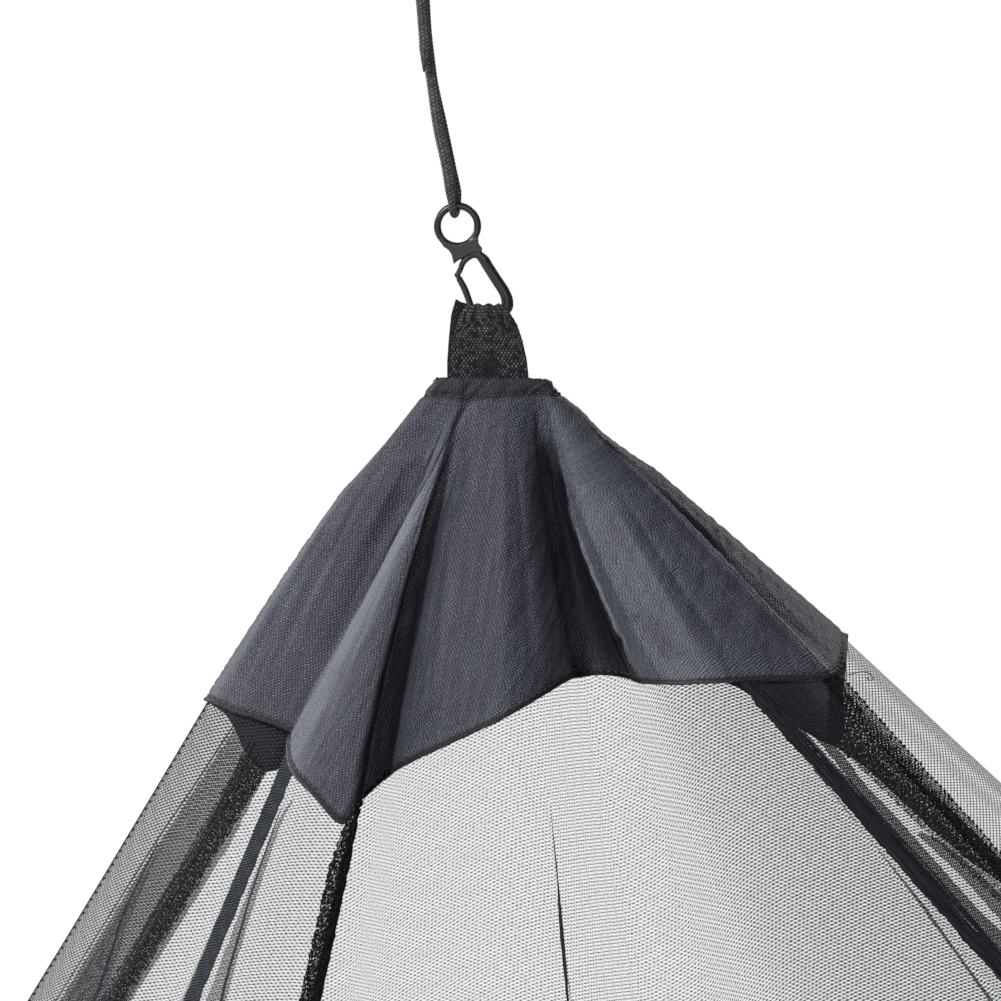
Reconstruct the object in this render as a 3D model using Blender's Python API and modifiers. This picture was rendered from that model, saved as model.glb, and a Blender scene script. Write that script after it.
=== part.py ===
"""Mosquito net canopy that hangs from one point, in millimetres turned to metres.

A knotted cord carries a snap clip, the clip carries a webbing loop, and the loop is sewn into
the heading of a woven cap. Below the cap's hem four net panels fall to the floor, with tape over
their seams. The origin is the top of the cord's eye; +Z is up and -Y faces the front.
"""

from collections import namedtuple
from math import cos, pi, radians, sin

import bmesh
import bpy
from mathutils import Matrix, Vector

MM = 0.001
GAP = 0.3  # between pieces that touch
SEAM_GAP = 0.15  # each panel stands this far back from the line of a seam

# Cloth
CAP_THICK = 1.0
NET_THICK = 1.0
TAPE_THICK = 1.0
TAPE_WIDTH = 8.0
TAPE_START = 0.9  # below the cap's hem
HEADING_SWELL = 0.4  # the turned heading and the turned hem are two layers thick
FLOOR_HEM_SWELL = 0.8
NET_SLACK = 0.6  # the net hangs this much further in from its tapes at the floor
FLOOR_DROP = 1150.0  # from the cap's top edge to the hem of the net
APEX = Vector((19.9, 0.0, -151.4))  # middle of the cap's top edge

# Cord
CORD = 3.6
KNOT_TOP, KNOT_BASE = -24.0, -34.8
KNOT_HALF = (4.3, 6.2)  # half width across X and Y
KNOT_WRAPS = 3

# Clip, in its own plane, measured from the centre of its ring
RING_CENTRE = Vector((10.55, 0.0, -105.15))
RING_RADIUS = 6.15
RING_BAR = 2.2
CORD_SEAT_ANGLE = radians(8.5)  # the cord bears on the ring this far left of its top
HINGE = Vector((0.0, 0.0, -15.0))
KNUCKLE = 1.15
PIN_RADIUS = 0.4
CHEEK_INNER, CHEEK_OUTER, CHEEK_WIDTH = 0.75, 1.25, 1.5
GATE_THICK = 0.9
GATE_BAR = 1.7
NECK_START, NECK_LENGTH, NECK_WIDTH = 0.4, 1.9, 1.3  # the flat of the gate between the cheeks
BASE_THICK = 2.8

# Webbing loop
WEBBING_THICK = 1.3

# One row for each fold of the cap, from the left silhouette round the front, the right and the back.
# The top edge and the cap's hem are measured from APEX, the bulge is how far the fold bows between
# them, the lean is the net's run for each millimetre that it falls just below the hem.
Fold = namedtuple(
    "Fold",
    "name top_x top_y hem_x hem_y drop bow_x bow_y lean_x lean_y floor_x floor_y",
)
FOLDS = [
    Fold(*row)
    for row in (
        ("left_fold", -17.3, 0.0, -86.6, 6.0, 98.8, -3.0, 0.0, -0.59, 0.05, -780, 20),
        ("left_near", -16.9, -2.2, -77.4, -6.0, 102.8, -3.0, 0.0, -0.63, -0.05, -720, -160),
        ("left_face", -14.6, -3.7, -66.1, -13.0, 106.3, -2.0, 0.0, -0.55, -0.12, -640, -320),
        ("left_tuck", -8.4, -3.6, -59.0, -17.0, 109.5, 2.0, 1.0, -0.45, -0.20, -560, -460),
        ("pleat_fold", -7.6, -3.6, -61.5, -33.0, 111.1, 3.0, -1.0, -0.41, -0.35, -500, -540),
        ("pleat_side", -6.9, -3.6, -60.9, -42.0, 118.7, 2.0, -2.0, -0.38, -0.40, -460, -575),
        ("pleat_face", -6.2, -3.6, -53.2, -55.0, 127.9, 0.0, -2.0, -0.30, -0.45, -435, -590),
        ("pleat_front", -5.5, -3.6, -44.0, -61.0, 136.2, -2.0, -2.0, -0.22, -0.47, -415, -600),
        ("pleat_edge", -4.8, -3.6, -39.2, -56.0, 131.6, -3.0, -1.0, -0.20, -0.46, -400, -600),
        ("crease", -4.1, -3.6, -38.4, -35.0, 129.0, -3.0, 1.0, -0.18, -0.40, -355, -600),
        ("front_a", -2.9, -3.6, -33.0, -35.0, 124.0, -3.0, 1.0, -0.16, -0.41, -300, -600),
        ("front_b", -1.0, -3.6, -27.0, -45.0, 119.4, -2.0, -1.0, -0.13, -0.46, -200, -600),
        ("front_c", 2.5, -3.6, -12.0, -52.0, 112.0, 0.0, -2.0, -0.06, -0.50, 0, -600),
        ("front_d", 6.5, -3.6, 4.0, -54.0, 104.5, 0.0, -2.0, 0.00, -0.52, 200, -600),
        ("front_e", 10.5, -3.6, 16.5, -46.0, 97.5, -1.0, -1.0, 0.05, -0.50, 380, -600),
        ("front_f", 13.8, -3.6, 24.5, -32.0, 92.8, -3.0, 0.0, 0.10, -0.45, 480, -600),
        ("valley", 16.0, -3.1, 31.8, -14.0, 90.9, -3.0, 3.0, 0.15, -0.40, 560, -600),
        ("under_ridge", 16.9, -2.8, 39.0, -17.0, 91.5, -5.0, 1.0, 0.22, -0.42, 620, -600),
        ("ridge", 17.6, -2.4, 47.0, -37.0, 93.6, -5.0, -1.0, 0.30, -0.47, 690, -600),
        ("right_a", 18.1, -1.9, 54.0, -47.0, 93.9, -4.0, -2.0, 0.40, -0.50, 760, -600),
        ("right_b", 18.5, -1.3, 67.0, -51.0, 93.4, -2.0, -2.0, 0.62, -0.50, 860, -600),
        ("door_edge", 18.8, -0.7, 79.0, -48.0, 92.7, 0.0, -2.0, 0.90, -0.48, 960, -600),
        ("corner_front_right", 18.9, 0.0, 106.8, -30.0, 90.3, 0.0, 0.0, 0.90, -0.45, 1090, -600),
        ("right_fold", 18.8, 0.9, 109.9, -6.0, 78.9, 0.0, 0.0, 1.08, -0.10, 1230, -120),
        ("right_back", 17.9, 2.2, 109.0, 22.0, 95.8, 0.0, 1.0, 1.05, 0.20, 1220, 250),
        ("corner_back_right", 15.5, 3.6, 106.8, 50.0, 112.6, 0.0, 2.0, 1.04, 0.45, 1180, 590),
        ("back_a", 9.0, 3.6, 72.0, 46.0, 93.0, 0.0, 1.0, 0.70, 0.50, 720, 585),
        ("back_b", 1.0, 3.6, 22.0, 36.0, 86.0, 0.0, 0.0, 0.20, 0.50, 220, 600),
        ("back_c", -7.0, 3.6, -28.0, 44.0, 95.0, 0.0, 1.0, -0.30, 0.50, -320, 592),
        ("corner_back_left", -14.4, 3.7, -69.2, 50.0, 120.6, 0.0, 2.0, -0.60, 0.45, -800, 590),
        ("left_back", -16.9, 2.2, -80.0, 28.0, 104.0, -2.0, 0.0, -0.60, 0.25, -810, 320),
    )
]
SEAMS = ("corner_back_left", "pleat_edge", "corner_front_right", "corner_back_right")
PANELS = ("left", "front", "right", "back")  # each runs from its seam in SEAMS to the next
TAPES = {
    "seam_tape_back_left": "corner_back_left",
    "seam_tape_front_left": "pleat_edge",
    "seam_tape_front_right": "corner_front_right",
    "seam_tape_back_right": "corner_back_right",
    "opening_tape_left": "pleat_fold",
    "opening_tape_right": "door_edge",
}
TAPED = set(TAPES.values())

CAP_ROWS = (0.0, 0.05, 0.12, 0.22, 0.34, 0.47, 0.60, 0.73, 0.85, 0.94, 1.0)
NET_ROWS = (0.02, 0.05, 0.09, 0.15, 0.23, 0.33, 0.45, 0.58, 0.72, 0.86, 0.98, 1.0)
TUCK_ROW = len(CAP_ROWS) - 2  # the net's top edge is sewn in under the cap from this row
HEM_ROW = len(CAP_ROWS) - 1
GATHERED_PART = 0.35  # of the cap's fall
GATHER_PASSES = 4
NET_REACH = 0.42  # how far down the net keeps the lean that it leaves the hem with


def collection(name):
    group = bpy.data.collections.new(name)
    bpy.context.scene.collection.children.link(group)
    return group


def material(name, colour, roughness, metallic=0.0):
    made = bpy.data.materials.new(name)
    made.use_nodes = True
    shader = made.node_tree.nodes["Principled BSDF"]
    shader.inputs["Base Color"].default_value = (*colour, 1.0)
    shader.inputs["Roughness"].default_value = roughness
    shader.inputs["Metallic"].default_value = metallic
    return made


def add_mesh(name, built, look, group, smooth_angle=40.0):
    """A bmesh in millimetres becomes an object in metres."""
    bmesh.ops.scale(built, vec=(MM, MM, MM), verts=built.verts)
    mesh = bpy.data.meshes.new(name)
    built.to_mesh(mesh)
    built.free()
    mesh.materials.append(look)
    mesh.shade_smooth()
    mesh.set_sharp_from_angle(angle=radians(smooth_angle))
    piece = bpy.data.objects.new(name, mesh)
    group.objects.link(piece)
    return piece


def hermite(start, end, leave, arrive, part):
    square, cube = part * part, part * part * part
    return (
        start * (2 * cube - 3 * square + 1)
        + leave * (cube - 2 * square + part)
        + end * (3 * square - 2 * cube)
        + arrive * (cube - square)
    )


def blend_tangent(before, here, after):
    """The direction at a point, weighted to its nearer neighbour."""
    back, ahead = (here - before).length, (after - here).length
    return ((here - before) / back * ahead + (after - here) / ahead * back) / (back + ahead)


def smooth_path(points, steps):
    """Points read from a smooth curve through a route."""
    ends = [2 * points[0] - points[1], *points, 2 * points[-1] - points[-2]]
    tangents = [blend_tangent(*ends[i : i + 3]) for i in range(len(points))]
    path = []
    for i in range(len(points) - 1):
        span = (points[i + 1] - points[i]).length
        for step in range(steps):
            leave, arrive = tangents[i] * span, tangents[i + 1] * span
            path.append(hermite(points[i], points[i + 1], leave, arrive, step / steps))
    return [*path, points[-1]]


# --- canopy surface --------------------------------------------------------------------------


def cap_point(fold, down):
    bulge = sin(pi * down**0.8)
    return APEX + Vector(
        (
            fold.top_x + (fold.hem_x - fold.top_x) * down + fold.bow_x * bulge,
            fold.top_y + (fold.hem_y - fold.top_y) * down**1.15 + fold.bow_y * bulge,
            -fold.drop * down,
        )
    )


def net_point(fold, down):
    fall = FLOOR_DROP - fold.drop
    hem = Vector((fold.hem_x, fold.hem_y, -fold.drop))
    bend = hem + Vector((fold.lean_x, fold.lean_y, -1.0)) * fall * NET_REACH
    floor = Vector((fold.floor_x, fold.floor_y, -FLOOR_DROP))
    rest = 1.0 - down
    return APEX + hem * rest * rest + bend * 2 * rest * down + floor * down * down


def ring(points):
    """A closed smooth section: its folds, the edges of its tapes and the middles of plain spans."""
    count = len(points)
    tangents = [
        blend_tangent(points[i - 1], points[i], points[(i + 1) % count]) for i in range(count)
    ]
    stations = []
    for i, fold in enumerate(FOLDS):
        following = (i + 1) % count
        span = (points[following] - points[i]).length
        here, ahead = fold.name in TAPED, FOLDS[following].name in TAPED
        tape_part = min(TAPE_WIDTH / 2 / span, 0.4 if here and ahead else 0.6)
        parts = [0.0]
        if here:
            parts.append(tape_part)
        if not here and not ahead:
            parts.append(0.5)
        if ahead:
            parts.append(1.0 - tape_part)
        leave, arrive = tangents[i] * span, tangents[following] * span
        stations += [hermite(points[i], points[following], leave, arrive, p) for p in parts]
    return stations


def station_index():
    """Where each fold lies in a ring's stations."""
    places, total = {}, 0
    for i, fold in enumerate(FOLDS):
        here, ahead = fold.name in TAPED, FOLDS[(i + 1) % len(FOLDS)].name in TAPED
        places[fold.name] = total
        total += 1 + max(1, here + ahead)
    return places, total


def cap_folds(down):
    """The folds at one level, evened out towards the heading, where they are gathered flat."""
    points = [cap_point(fold, down) for fold in FOLDS]
    share = 0.5 * max(0.0, 1.0 - down / GATHERED_PART)
    for _ in range(GATHER_PASSES):
        points = [
            p.lerp((points[i - 1] + points[(i + 1) % len(points)]) / 2, share)
            for i, p in enumerate(points)
        ]
    return points


def canopy_surface():
    rows = [ring(cap_folds(down)) for down in CAP_ROWS]
    rows += [ring([net_point(fold, down) for fold in FOLDS]) for down in NET_ROWS]
    return rows


def surface_normals(rows):
    """Outward directions, from the neighbours along the ring and down the fold."""
    count = len(rows[0])
    normals = []
    for i, row in enumerate(rows):
        above, below = rows[max(i - 1, 0)], rows[min(i + 1, len(rows) - 1)]
        normals.append(
            [
                (below[j] - above[j]).cross(row[(j + 1) % count] - row[j - 1]).normalized()
                for j in range(count)
            ]
        )
    return normals


def stations_between(first, last, count):
    return [j % count for j in range(first, last + 1 + (count if last < first else 0))]


def skin_shell(name, grid_rows, outer, inner, look, group, set_back=SEAM_GAP):
    """A closed sheet: one row of (points, normals) for each level, offset out and in."""
    built = bmesh.new()
    layers = []
    for offsets in (outer, inner):
        layer = []
        for (points, normals), offset in zip(grid_rows, offsets):
            moved = [p + n * offset for p, n in zip(points, normals)]
            moved[0] = moved[0] + (moved[1] - moved[0]).normalized() * set_back
            moved[-1] = moved[-1] + (moved[-2] - moved[-1]).normalized() * set_back
            layer.append([built.verts.new(p) for p in moved])
        layers.append(layer)
    outside, inside = layers
    last_row, last_column = len(outside) - 1, len(outside[0]) - 1

    def quad(a, b, c, d):  # both sides are split from a to c, so they stay parallel where it twists
        built.faces.new((a, b, c))
        built.faces.new((a, c, d))

    for j in range(last_column):
        quad(inside[-1][j], inside[-1][j + 1], outside[-1][j + 1], outside[-1][j])
        quad(outside[0][j], outside[0][j + 1], inside[0][j + 1], inside[0][j])
    for i in range(last_row):
        quad(inside[i][0], inside[i + 1][0], outside[i + 1][0], outside[i][0])
        quad(outside[i][-1], outside[i + 1][-1], inside[i + 1][-1], inside[i][-1])
        for j in range(last_column):
            quad(outside[i][j], outside[i + 1][j], outside[i + 1][j + 1], outside[i][j + 1])
            quad(inside[i][j], inside[i][j + 1], inside[i + 1][j + 1], inside[i + 1][j])
    bmesh.ops.recalc_face_normals(built, faces=built.faces)
    return add_mesh(name, built, look, group)


def build_cap(rows, normals, places, count, look, group):
    for k, side in enumerate(PANELS):
        chosen = stations_between(places[SEAMS[k]], places[SEAMS[(k + 1) % 4]], count)
        levels = range(HEM_ROW + 1)
        grid = [([rows[i][j] for j in chosen], [normals[i][j] for j in chosen]) for i in levels]
        swell = [HEADING_SWELL if i < 2 or i >= TUCK_ROW + 1 else 0.0 for i in levels]
        skin_shell("cap_" + side, grid, swell, [-CAP_THICK] * len(grid), look, group)


def build_net(rows, normals, places, count, look, group):
    levels = range(TUCK_ROW, len(rows))
    fall = len(rows) - 1 - HEM_ROW
    outer = [-(CAP_THICK + GAP) - NET_SLACK * max(0, i - HEM_ROW) / fall for i in levels]
    for k, side in enumerate(PANELS):
        chosen = stations_between(places[SEAMS[k]], places[SEAMS[(k + 1) % 4]], count)
        grid = [([rows[i][j] for j in chosen], [normals[i][j] for j in chosen]) for i in levels]
        inner = [depth - NET_THICK for depth in outer]
        inner[-1] -= FLOOR_HEM_SWELL
        inner[-2] -= FLOOR_HEM_SWELL
        skin_shell("net_" + side, grid, outer, inner, look, group)


def build_tapes(rows, normals, places, count, look, group):
    for name, fold in TAPES.items():
        middle = places[fold]
        chosen = [(middle + step) % count for step in (-1, 0, 1)]
        grid = []
        for i in range(HEM_ROW, len(rows)):
            points = [rows[i][j].copy() for j in chosen]
            if i == HEM_ROW:
                below = [rows[i + 1][j] for j in chosen]
                points = [p + (q - p).normalized() * TAPE_START for p, q in zip(points, below)]
            grid.append((points, [normals[i][j] for j in chosen]))
        skin_shell(name, grid, [0.0] * len(grid), [-TAPE_THICK] * len(grid), look, group, 0.0)


# --- webbing loop ----------------------------------------------------------------------------

# One row for each crossing of the webbing, up its front, over the clip's bar and down its back:
# depth and height of its middle, its left and right edges, and how far the left edge rises.
WEBBING = (
    (-0.85, -8.0, -12.5, 12.5, 0.0),
    (-0.85, -1.0, -12.5, 12.5, 0.0),
    (-1.30, 5.0, -12.4, 11.9, 0.0),
    (-1.95, 11.0, -11.6, 10.4, 0.0),
    (-2.50, 16.0, -9.6, 8.8, 0.0),
    (-2.75, 19.3, -7.6, 7.0, 0.0),
    (-2.30, 21.0, -5.4, 4.6, 0.0),
    (-1.25, 21.9, -4.8, 3.7, 0.0),
    (0.00, 22.2, -4.6, 3.5, 0.0),
    (1.25, 21.9, -4.8, 3.7, 0.4),
    (2.30, 21.0, -6.6, 4.6, 2.0),
    (2.75, 19.3, -9.3, 7.0, 4.0),
    (2.50, 16.0, -11.2, 8.8, 3.0),
    (1.95, 11.0, -12.0, 10.4, 1.0),
    (1.30, 5.0, -12.5, 11.9, 0.0),
    (0.85, -1.0, -12.5, 12.5, 0.0),
    (0.85, -8.0, -12.5, 12.5, 0.0),
)
WEBBING_COLUMNS = 10
GATHERS = 2.5  # waves across the webbing where the clip's bar draws it in
GATHER_DEPTH = 0.45
BEND_FOOT, BEND_HEIGHT = 19.0, 3.0  # where the bend over the bar starts, and how high it is


def build_webbing(look, group):
    built = bmesh.new()
    grid = []
    full_width = WEBBING[0][3] - WEBBING[0][2]
    for depth, height, left, right, rise in WEBBING:
        line = []
        drawn_in = 1.0 - (right - left) / full_width
        for k in range(WEBBING_COLUMNS + 1):
            across = k / WEBBING_COLUMNS
            wave = GATHER_DEPTH * drawn_in * (1.0 - cos(2 * pi * GATHERS * across))
            side = 1.0 if depth > 0 else -1.0 if depth < 0 else 0.0
            lift = wave * max(0.0, height - BEND_FOOT) / BEND_HEIGHT
            line.append(
                built.verts.new(
                    APEX
                    + Vector(
                        (
                            left + (right - left) * across,
                            depth + side * wave,
                            height + lift + rise * (1.0 - across) ** 3,
                        )
                    )
                )
            )
        grid.append(line)
    for upper, lower in zip(grid, grid[1:]):
        for k in range(WEBBING_COLUMNS):
            built.faces.new((upper[k], upper[k + 1], lower[k + 1], lower[k]))
    bmesh.ops.recalc_face_normals(built, faces=built.faces)
    piece = add_mesh("webbing_loop", built, look, group)
    wall = piece.modifiers.new("thickness", "SOLIDIFY")
    wall.thickness = WEBBING_THICK * MM
    wall.offset = 0.0
    return piece


# --- cord ------------------------------------------------------------------------------------

# Where the cord's legs run, in millimetres from the origin: X, Y, Z.
FRONT_LEG = (
    (0.0, 0.0, -35.1), (0.9, -0.2, -45.2), (2.45, -0.6, -58.3), (4.9, -1.7, -75.8), (7.5, -2.7, -88.0),
)
BACK_LEG = (
    (10.2, 3.2, -96.0), (8.6, 3.3, -88.0), (6.05, 3.5, -75.8), (1.7, 3.8, -54.4), (0.3, 3.9, -35.1),
)
TAIL = ((-0.6, -3.9, -35.1), (0.0, -4.3, -42.1), (0.5, -4.6, -49.8), (0.3, -4.7, -56.5))
EYE_HALF_WIDTH = 6.5
EYE_TOP = -CORD / 2


def tube(name, path, diameter, look, group, tip=1.0):
    """A cord or bar: a bevelled curve with a point for each step of its path."""
    data = bpy.data.curves.new(name, "CURVE")
    data.dimensions = "3D"
    data.bevel_depth = diameter / 2 * MM
    data.bevel_resolution = 2
    data.use_fill_caps = True
    spline = data.splines.new("POLY")
    spline.points.add(len(path) - 1)
    for point, place in zip(spline.points, path):
        point.co = (*(place * MM), 1.0)
    spline.points[-1].radius = tip
    data.materials.append(look)
    piece = bpy.data.objects.new(name, data)
    group.objects.link(piece)
    return piece


def cord_turn():
    """Under the ring's bar, from the front leg to the back one."""
    seat = RING_CENTRE + Vector((-sin(CORD_SEAT_ANGLE), 0.0, cos(CORD_SEAT_ANGLE))) * RING_RADIUS
    radius = RING_BAR / 2 + GAP + CORD / 2
    turn = []
    for step in range(7):
        angle = pi * step / 6
        sideways = -0.7 * cos(angle)
        turn.append(seat + Vector((sideways, -radius * cos(angle), -radius * sin(angle))))
    return turn


def build_cords(look, group):
    front, back = [Vector(p) for p in FRONT_LEG], [Vector(p) for p in BACK_LEG]
    sling = smooth_path([*front, *cord_turn(), *back], 3)
    tube("cord_sling", sling, CORD, look, group)
    tube("cord_tail", smooth_path([Vector(p) for p in TAIL], 3), CORD, look, group, tip=0.35)
    foot = KNOT_TOP + GAP
    rise = EYE_TOP - foot
    eye = [
        Vector((side * EYE_HALF_WIDTH * reach, 0.0, foot + rise * up))
        for side, reach, up in (
            (-1, 0.34, 0.0), (-1, 0.34, 0.06), (-1, 0.60, 0.24), (-1, 0.95, 0.48), (-1, 0.86, 0.76),
            (-1, 0.45, 0.95), (1, 0.0, 1.0), (1, 0.45, 0.95),
            (1, 0.86, 0.76), (1, 0.95, 0.48), (1, 0.60, 0.24), (1, 0.34, 0.06), (1, 0.34, 0.0),
        )
    ]
    tube("cord_eye", smooth_path(eye, 3), CORD, look, group)


def build_knot(look, group):
    """Wraps of cord drawn tight round the legs: a turned profile, flattened across X."""
    built = bmesh.new()
    height = (KNOT_TOP - KNOT_BASE) / KNOT_WRAPS
    profile = [Vector((0.0, 0.0, KNOT_TOP))]
    for wrap in range(KNOT_WRAPS):
        for step in range(5):
            angle = pi * step / 4
            level = KNOT_TOP - height * (wrap + (1 - cos(angle)) / 2)
            if step or not wrap:
                profile.append(Vector((0.86 + 0.14 * sin(angle), 0.0, level)))
    profile.append(Vector((0.0, 0.0, KNOT_BASE)))
    line = [built.verts.new(p) for p in profile]
    edges = [built.edges.new(pair) for pair in zip(line, line[1:])]
    bmesh.ops.spin(
        built, geom=[*line, *edges], cent=(0, 0, 0), axis=(0, 0, 1), angle=2 * pi, steps=24, use_merge=True
    )
    bmesh.ops.remove_doubles(built, verts=built.verts, dist=1e-4)
    bmesh.ops.scale(built, vec=(*KNOT_HALF, 1.0), verts=built.verts)
    bmesh.ops.recalc_face_normals(built, faces=built.faces)
    return add_mesh("cord_knot", built, look, group)


# --- clip ------------------------------------------------------------------------------------

# The hook's middle line from its nose round the bottom, up the spine and over to the hinge arm:
# X, Z and radius, from the centre of the ring.
HOOK = (
    (2.6, -23.0, 0.90), (3.5, -25.0, 1.15), (6.0, -26.7, 1.45), (9.9, -27.0, 1.50), (13.3, -26.3, 1.60),
    (15.0, -24.0, 1.70), (14.9, -21.4, 1.65), (11.3, -15.6, 1.62), (7.8, -10.4, 1.50), (5.4, -8.9, 1.15),
    (2.7, -9.5, 1.05), (0.95, -11.7, 0.95), (0.45, -13.5, 0.90),
)
# The shoulder between the ring and the hook, with the stop that points down beside the gate.
SHOULDER = (
    (-5.2, -3.6), (-3.3, -6.4), (-2.2, -8.9), (-1.3, -11.9), (0.2, -11.0), (2.2, -9.3), (4.9, -8.4),
    (8.2, -8.9), (6.7, -6.4), (6.4, -2.4), (3.6, -4.6), (0.0, -5.8), (-3.0, -5.0),
)
GATE_TIP = Vector((2.47, 0.0, -22.6))


def solid_mesh(piece):
    """A curve is made a mesh with its caps welded, so that it can be joined."""
    bpy.context.view_layer.update()
    held = piece.evaluated_get(bpy.context.evaluated_depsgraph_get())
    mesh = bpy.data.meshes.new_from_object(held)
    built = bmesh.new()
    built.from_mesh(mesh)
    bmesh.ops.remove_doubles(built, verts=built.verts, dist=1e-7)
    bmesh.ops.recalc_face_normals(built, faces=built.faces)
    built.to_mesh(mesh)
    built.free()
    made = bpy.data.objects.new(piece.name + "_mesh", mesh)
    made.matrix_world = piece.matrix_world
    bpy.data.objects.remove(piece)
    return made


def block(name, size, centre, turn, look, group):
    built = bmesh.new()
    bmesh.ops.create_cube(built, size=1.0)
    bmesh.ops.scale(built, vec=size, verts=built.verts)
    place = Matrix.Translation(centre) @ Matrix.Rotation(turn, 4, "Y")
    bmesh.ops.transform(built, matrix=place, verts=built.verts)
    return add_mesh(name, built, look, group)


def disc(name, radius, depth, centre, look, group, segments=20):
    """A cylinder whose axis is the hinge's, along Y."""
    built = bmesh.new()
    bmesh.ops.create_cone(
        built, cap_ends=True, segments=segments, radius1=radius, radius2=radius, depth=depth
    )
    place = Matrix.Translation(centre) @ Matrix.Rotation(pi / 2, 4, "X")
    bmesh.ops.transform(built, matrix=place, verts=built.verts)
    return add_mesh(name, built, look, group)


def join(base, others, operation, group, cutters):
    for other in others:
        group.objects.unlink(other)
        cutters.objects.link(other)
        other.hide_render = True
        other.display_type = "WIRE"
        step = base.modifiers.new(other.name, "BOOLEAN")
        step.operation = operation
        step.object = other


def build_clip(look, group, cutters):
    hinge = RING_CENTRE + HINGE
    # body
    built = bmesh.new()
    bmesh.ops.create_circle(built, segments=10, radius=RING_BAR / 2)
    bmesh.ops.transform(
        built,
        matrix=Matrix.Translation((RING_RADIUS, 0, 0)) @ Matrix.Rotation(pi / 2, 4, "X"),
        verts=built.verts,
    )
    geometry = [*built.verts, *built.edges]
    bmesh.ops.spin(
        built, geom=geometry, cent=(0, 0, 0), axis=(0, 0, 1), angle=2 * pi, steps=32, use_merge=True
    )
    bmesh.ops.remove_doubles(built, verts=built.verts, dist=1e-4)
    bmesh.ops.recalc_face_normals(built, faces=built.faces)
    place = Matrix.Translation(RING_CENTRE) @ Matrix.Rotation(pi / 2, 4, "X")
    bmesh.ops.transform(built, matrix=place, verts=built.verts)
    body = add_mesh("clip_body", built, look, group)

    line = [RING_CENTRE + Vector((x, 0.0, z)) for x, z, _ in HOOK]
    hook_curve = tube("hook", smooth_path(line, 2), 2.0, look, group)
    radii = smooth_path([Vector((radius, 0.0, 10.0 * i)) for i, (_, _, radius) in enumerate(HOOK)], 2)
    for point, width in zip(hook_curve.data.splines[0].points, radii):
        point.radius = width.x
    hook = solid_mesh(hook_curve)
    group.objects.link(hook)

    built = bmesh.new()
    plate = built.faces.new(
        [built.verts.new(RING_CENTRE + Vector((x, -BASE_THICK / 2, z))) for x, z in SHOULDER]
    )
    raised = bmesh.ops.extrude_face_region(built, geom=[plate])["geom"]
    top = [v for v in raised if isinstance(v, bmesh.types.BMVert)]
    bmesh.ops.translate(built, vec=(0, BASE_THICK, 0), verts=top)
    bmesh.ops.recalc_face_normals(built, faces=built.faces)
    shoulder = add_mesh("shoulder", built, look, group)

    arm = RING_CENTRE + Vector((HOOK[-2][0], 0.0, HOOK[-2][1]))
    reach = arm - hinge
    turn = -Vector((0.0, 1.0)).angle_signed(Vector((reach.x, reach.z)))
    cheek_depth = CHEEK_OUTER - CHEEK_INNER
    joined = [hook, shoulder]
    for side, word in ((-1, "front"), (1, "back")):
        middle = Vector((0.0, side * (CHEEK_INNER + cheek_depth / 2), 0.0))
        joined.append(disc("knuckle_" + word, KNUCKLE, cheek_depth, hinge + middle, look, group))
        size = (CHEEK_WIDTH, cheek_depth, reach.length)
        centre = hinge + reach / 2 + middle
        joined.append(block("cheek_" + word, size, centre, -turn, look, group))
    joined.append(disc("pin", PIN_RADIUS, 2 * CHEEK_INNER + cheek_depth, hinge, look, group, 12))
    join(body, joined, "UNION", group, cutters)

    # gate, with its origin on the hinge
    way = (RING_CENTRE + GATE_TIP - hinge).normalized()
    tilt = -Vector((0.0, -1.0)).angle_signed(Vector((way.x, way.z)))
    eye = disc("clip_gate", KNUCKLE, GATE_THICK, hinge, look, group)
    neck_middle = hinge + way * (NECK_START + NECK_LENGTH / 2)
    neck = block("neck", (NECK_WIDTH, GATE_THICK, NECK_LENGTH), neck_middle, -tilt, look, group)
    bar_line = [neck_middle + way * NECK_START, RING_CENTRE + GATE_TIP]
    bar_curve = tube("gate_bar", bar_line, GATE_BAR, look, group)
    bar = solid_mesh(bar_curve)
    group.objects.link(bar)
    hole = disc("pin_hole", PIN_RADIUS + GAP, 4.0, hinge, look, group, 12)
    join(eye, [neck, bar], "UNION", group, cutters)
    join(eye, [hole], "DIFFERENCE", group, cutters)
    eye.data.transform(Matrix.Translation(-hinge * MM))
    eye.location = hinge * MM


def main():
    for leftover in list(bpy.data.objects):
        bpy.data.objects.remove(leftover)
    group, cutters = collection("mosquito_net_canopy"), collection("cutters")
    cap_cloth = material("cap_cloth", (0.060, 0.064, 0.080), 0.65)
    net_cloth = material("net_cloth", (0.030, 0.030, 0.036), 0.8)
    tape_cloth = material("tape_cloth", (0.012, 0.012, 0.015), 0.85)
    webbing_cloth = material("webbing_cloth", (0.014, 0.014, 0.016), 0.75)
    cord_braid = material("cord_braid", (0.030, 0.032, 0.040), 0.7)
    clip_finish = material("clip_finish", (0.040, 0.042, 0.052), 0.32)

    rows = canopy_surface()
    normals = surface_normals(rows)
    places, count = station_index()
    build_cap(rows, normals, places, count, cap_cloth, group)
    build_net(rows, normals, places, count, net_cloth, group)
    build_tapes(rows, normals, places, count, tape_cloth, group)
    build_webbing(webbing_cloth, group)
    build_cords(cord_braid, group)
    build_knot(cord_braid, group)
    build_clip(clip_finish, group, cutters)


main()
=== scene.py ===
from math import ceil, cos, pi, radians, sin

import bmesh
import bpy
import numpy as np
from mathutils import Matrix, Vector, noise


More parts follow.
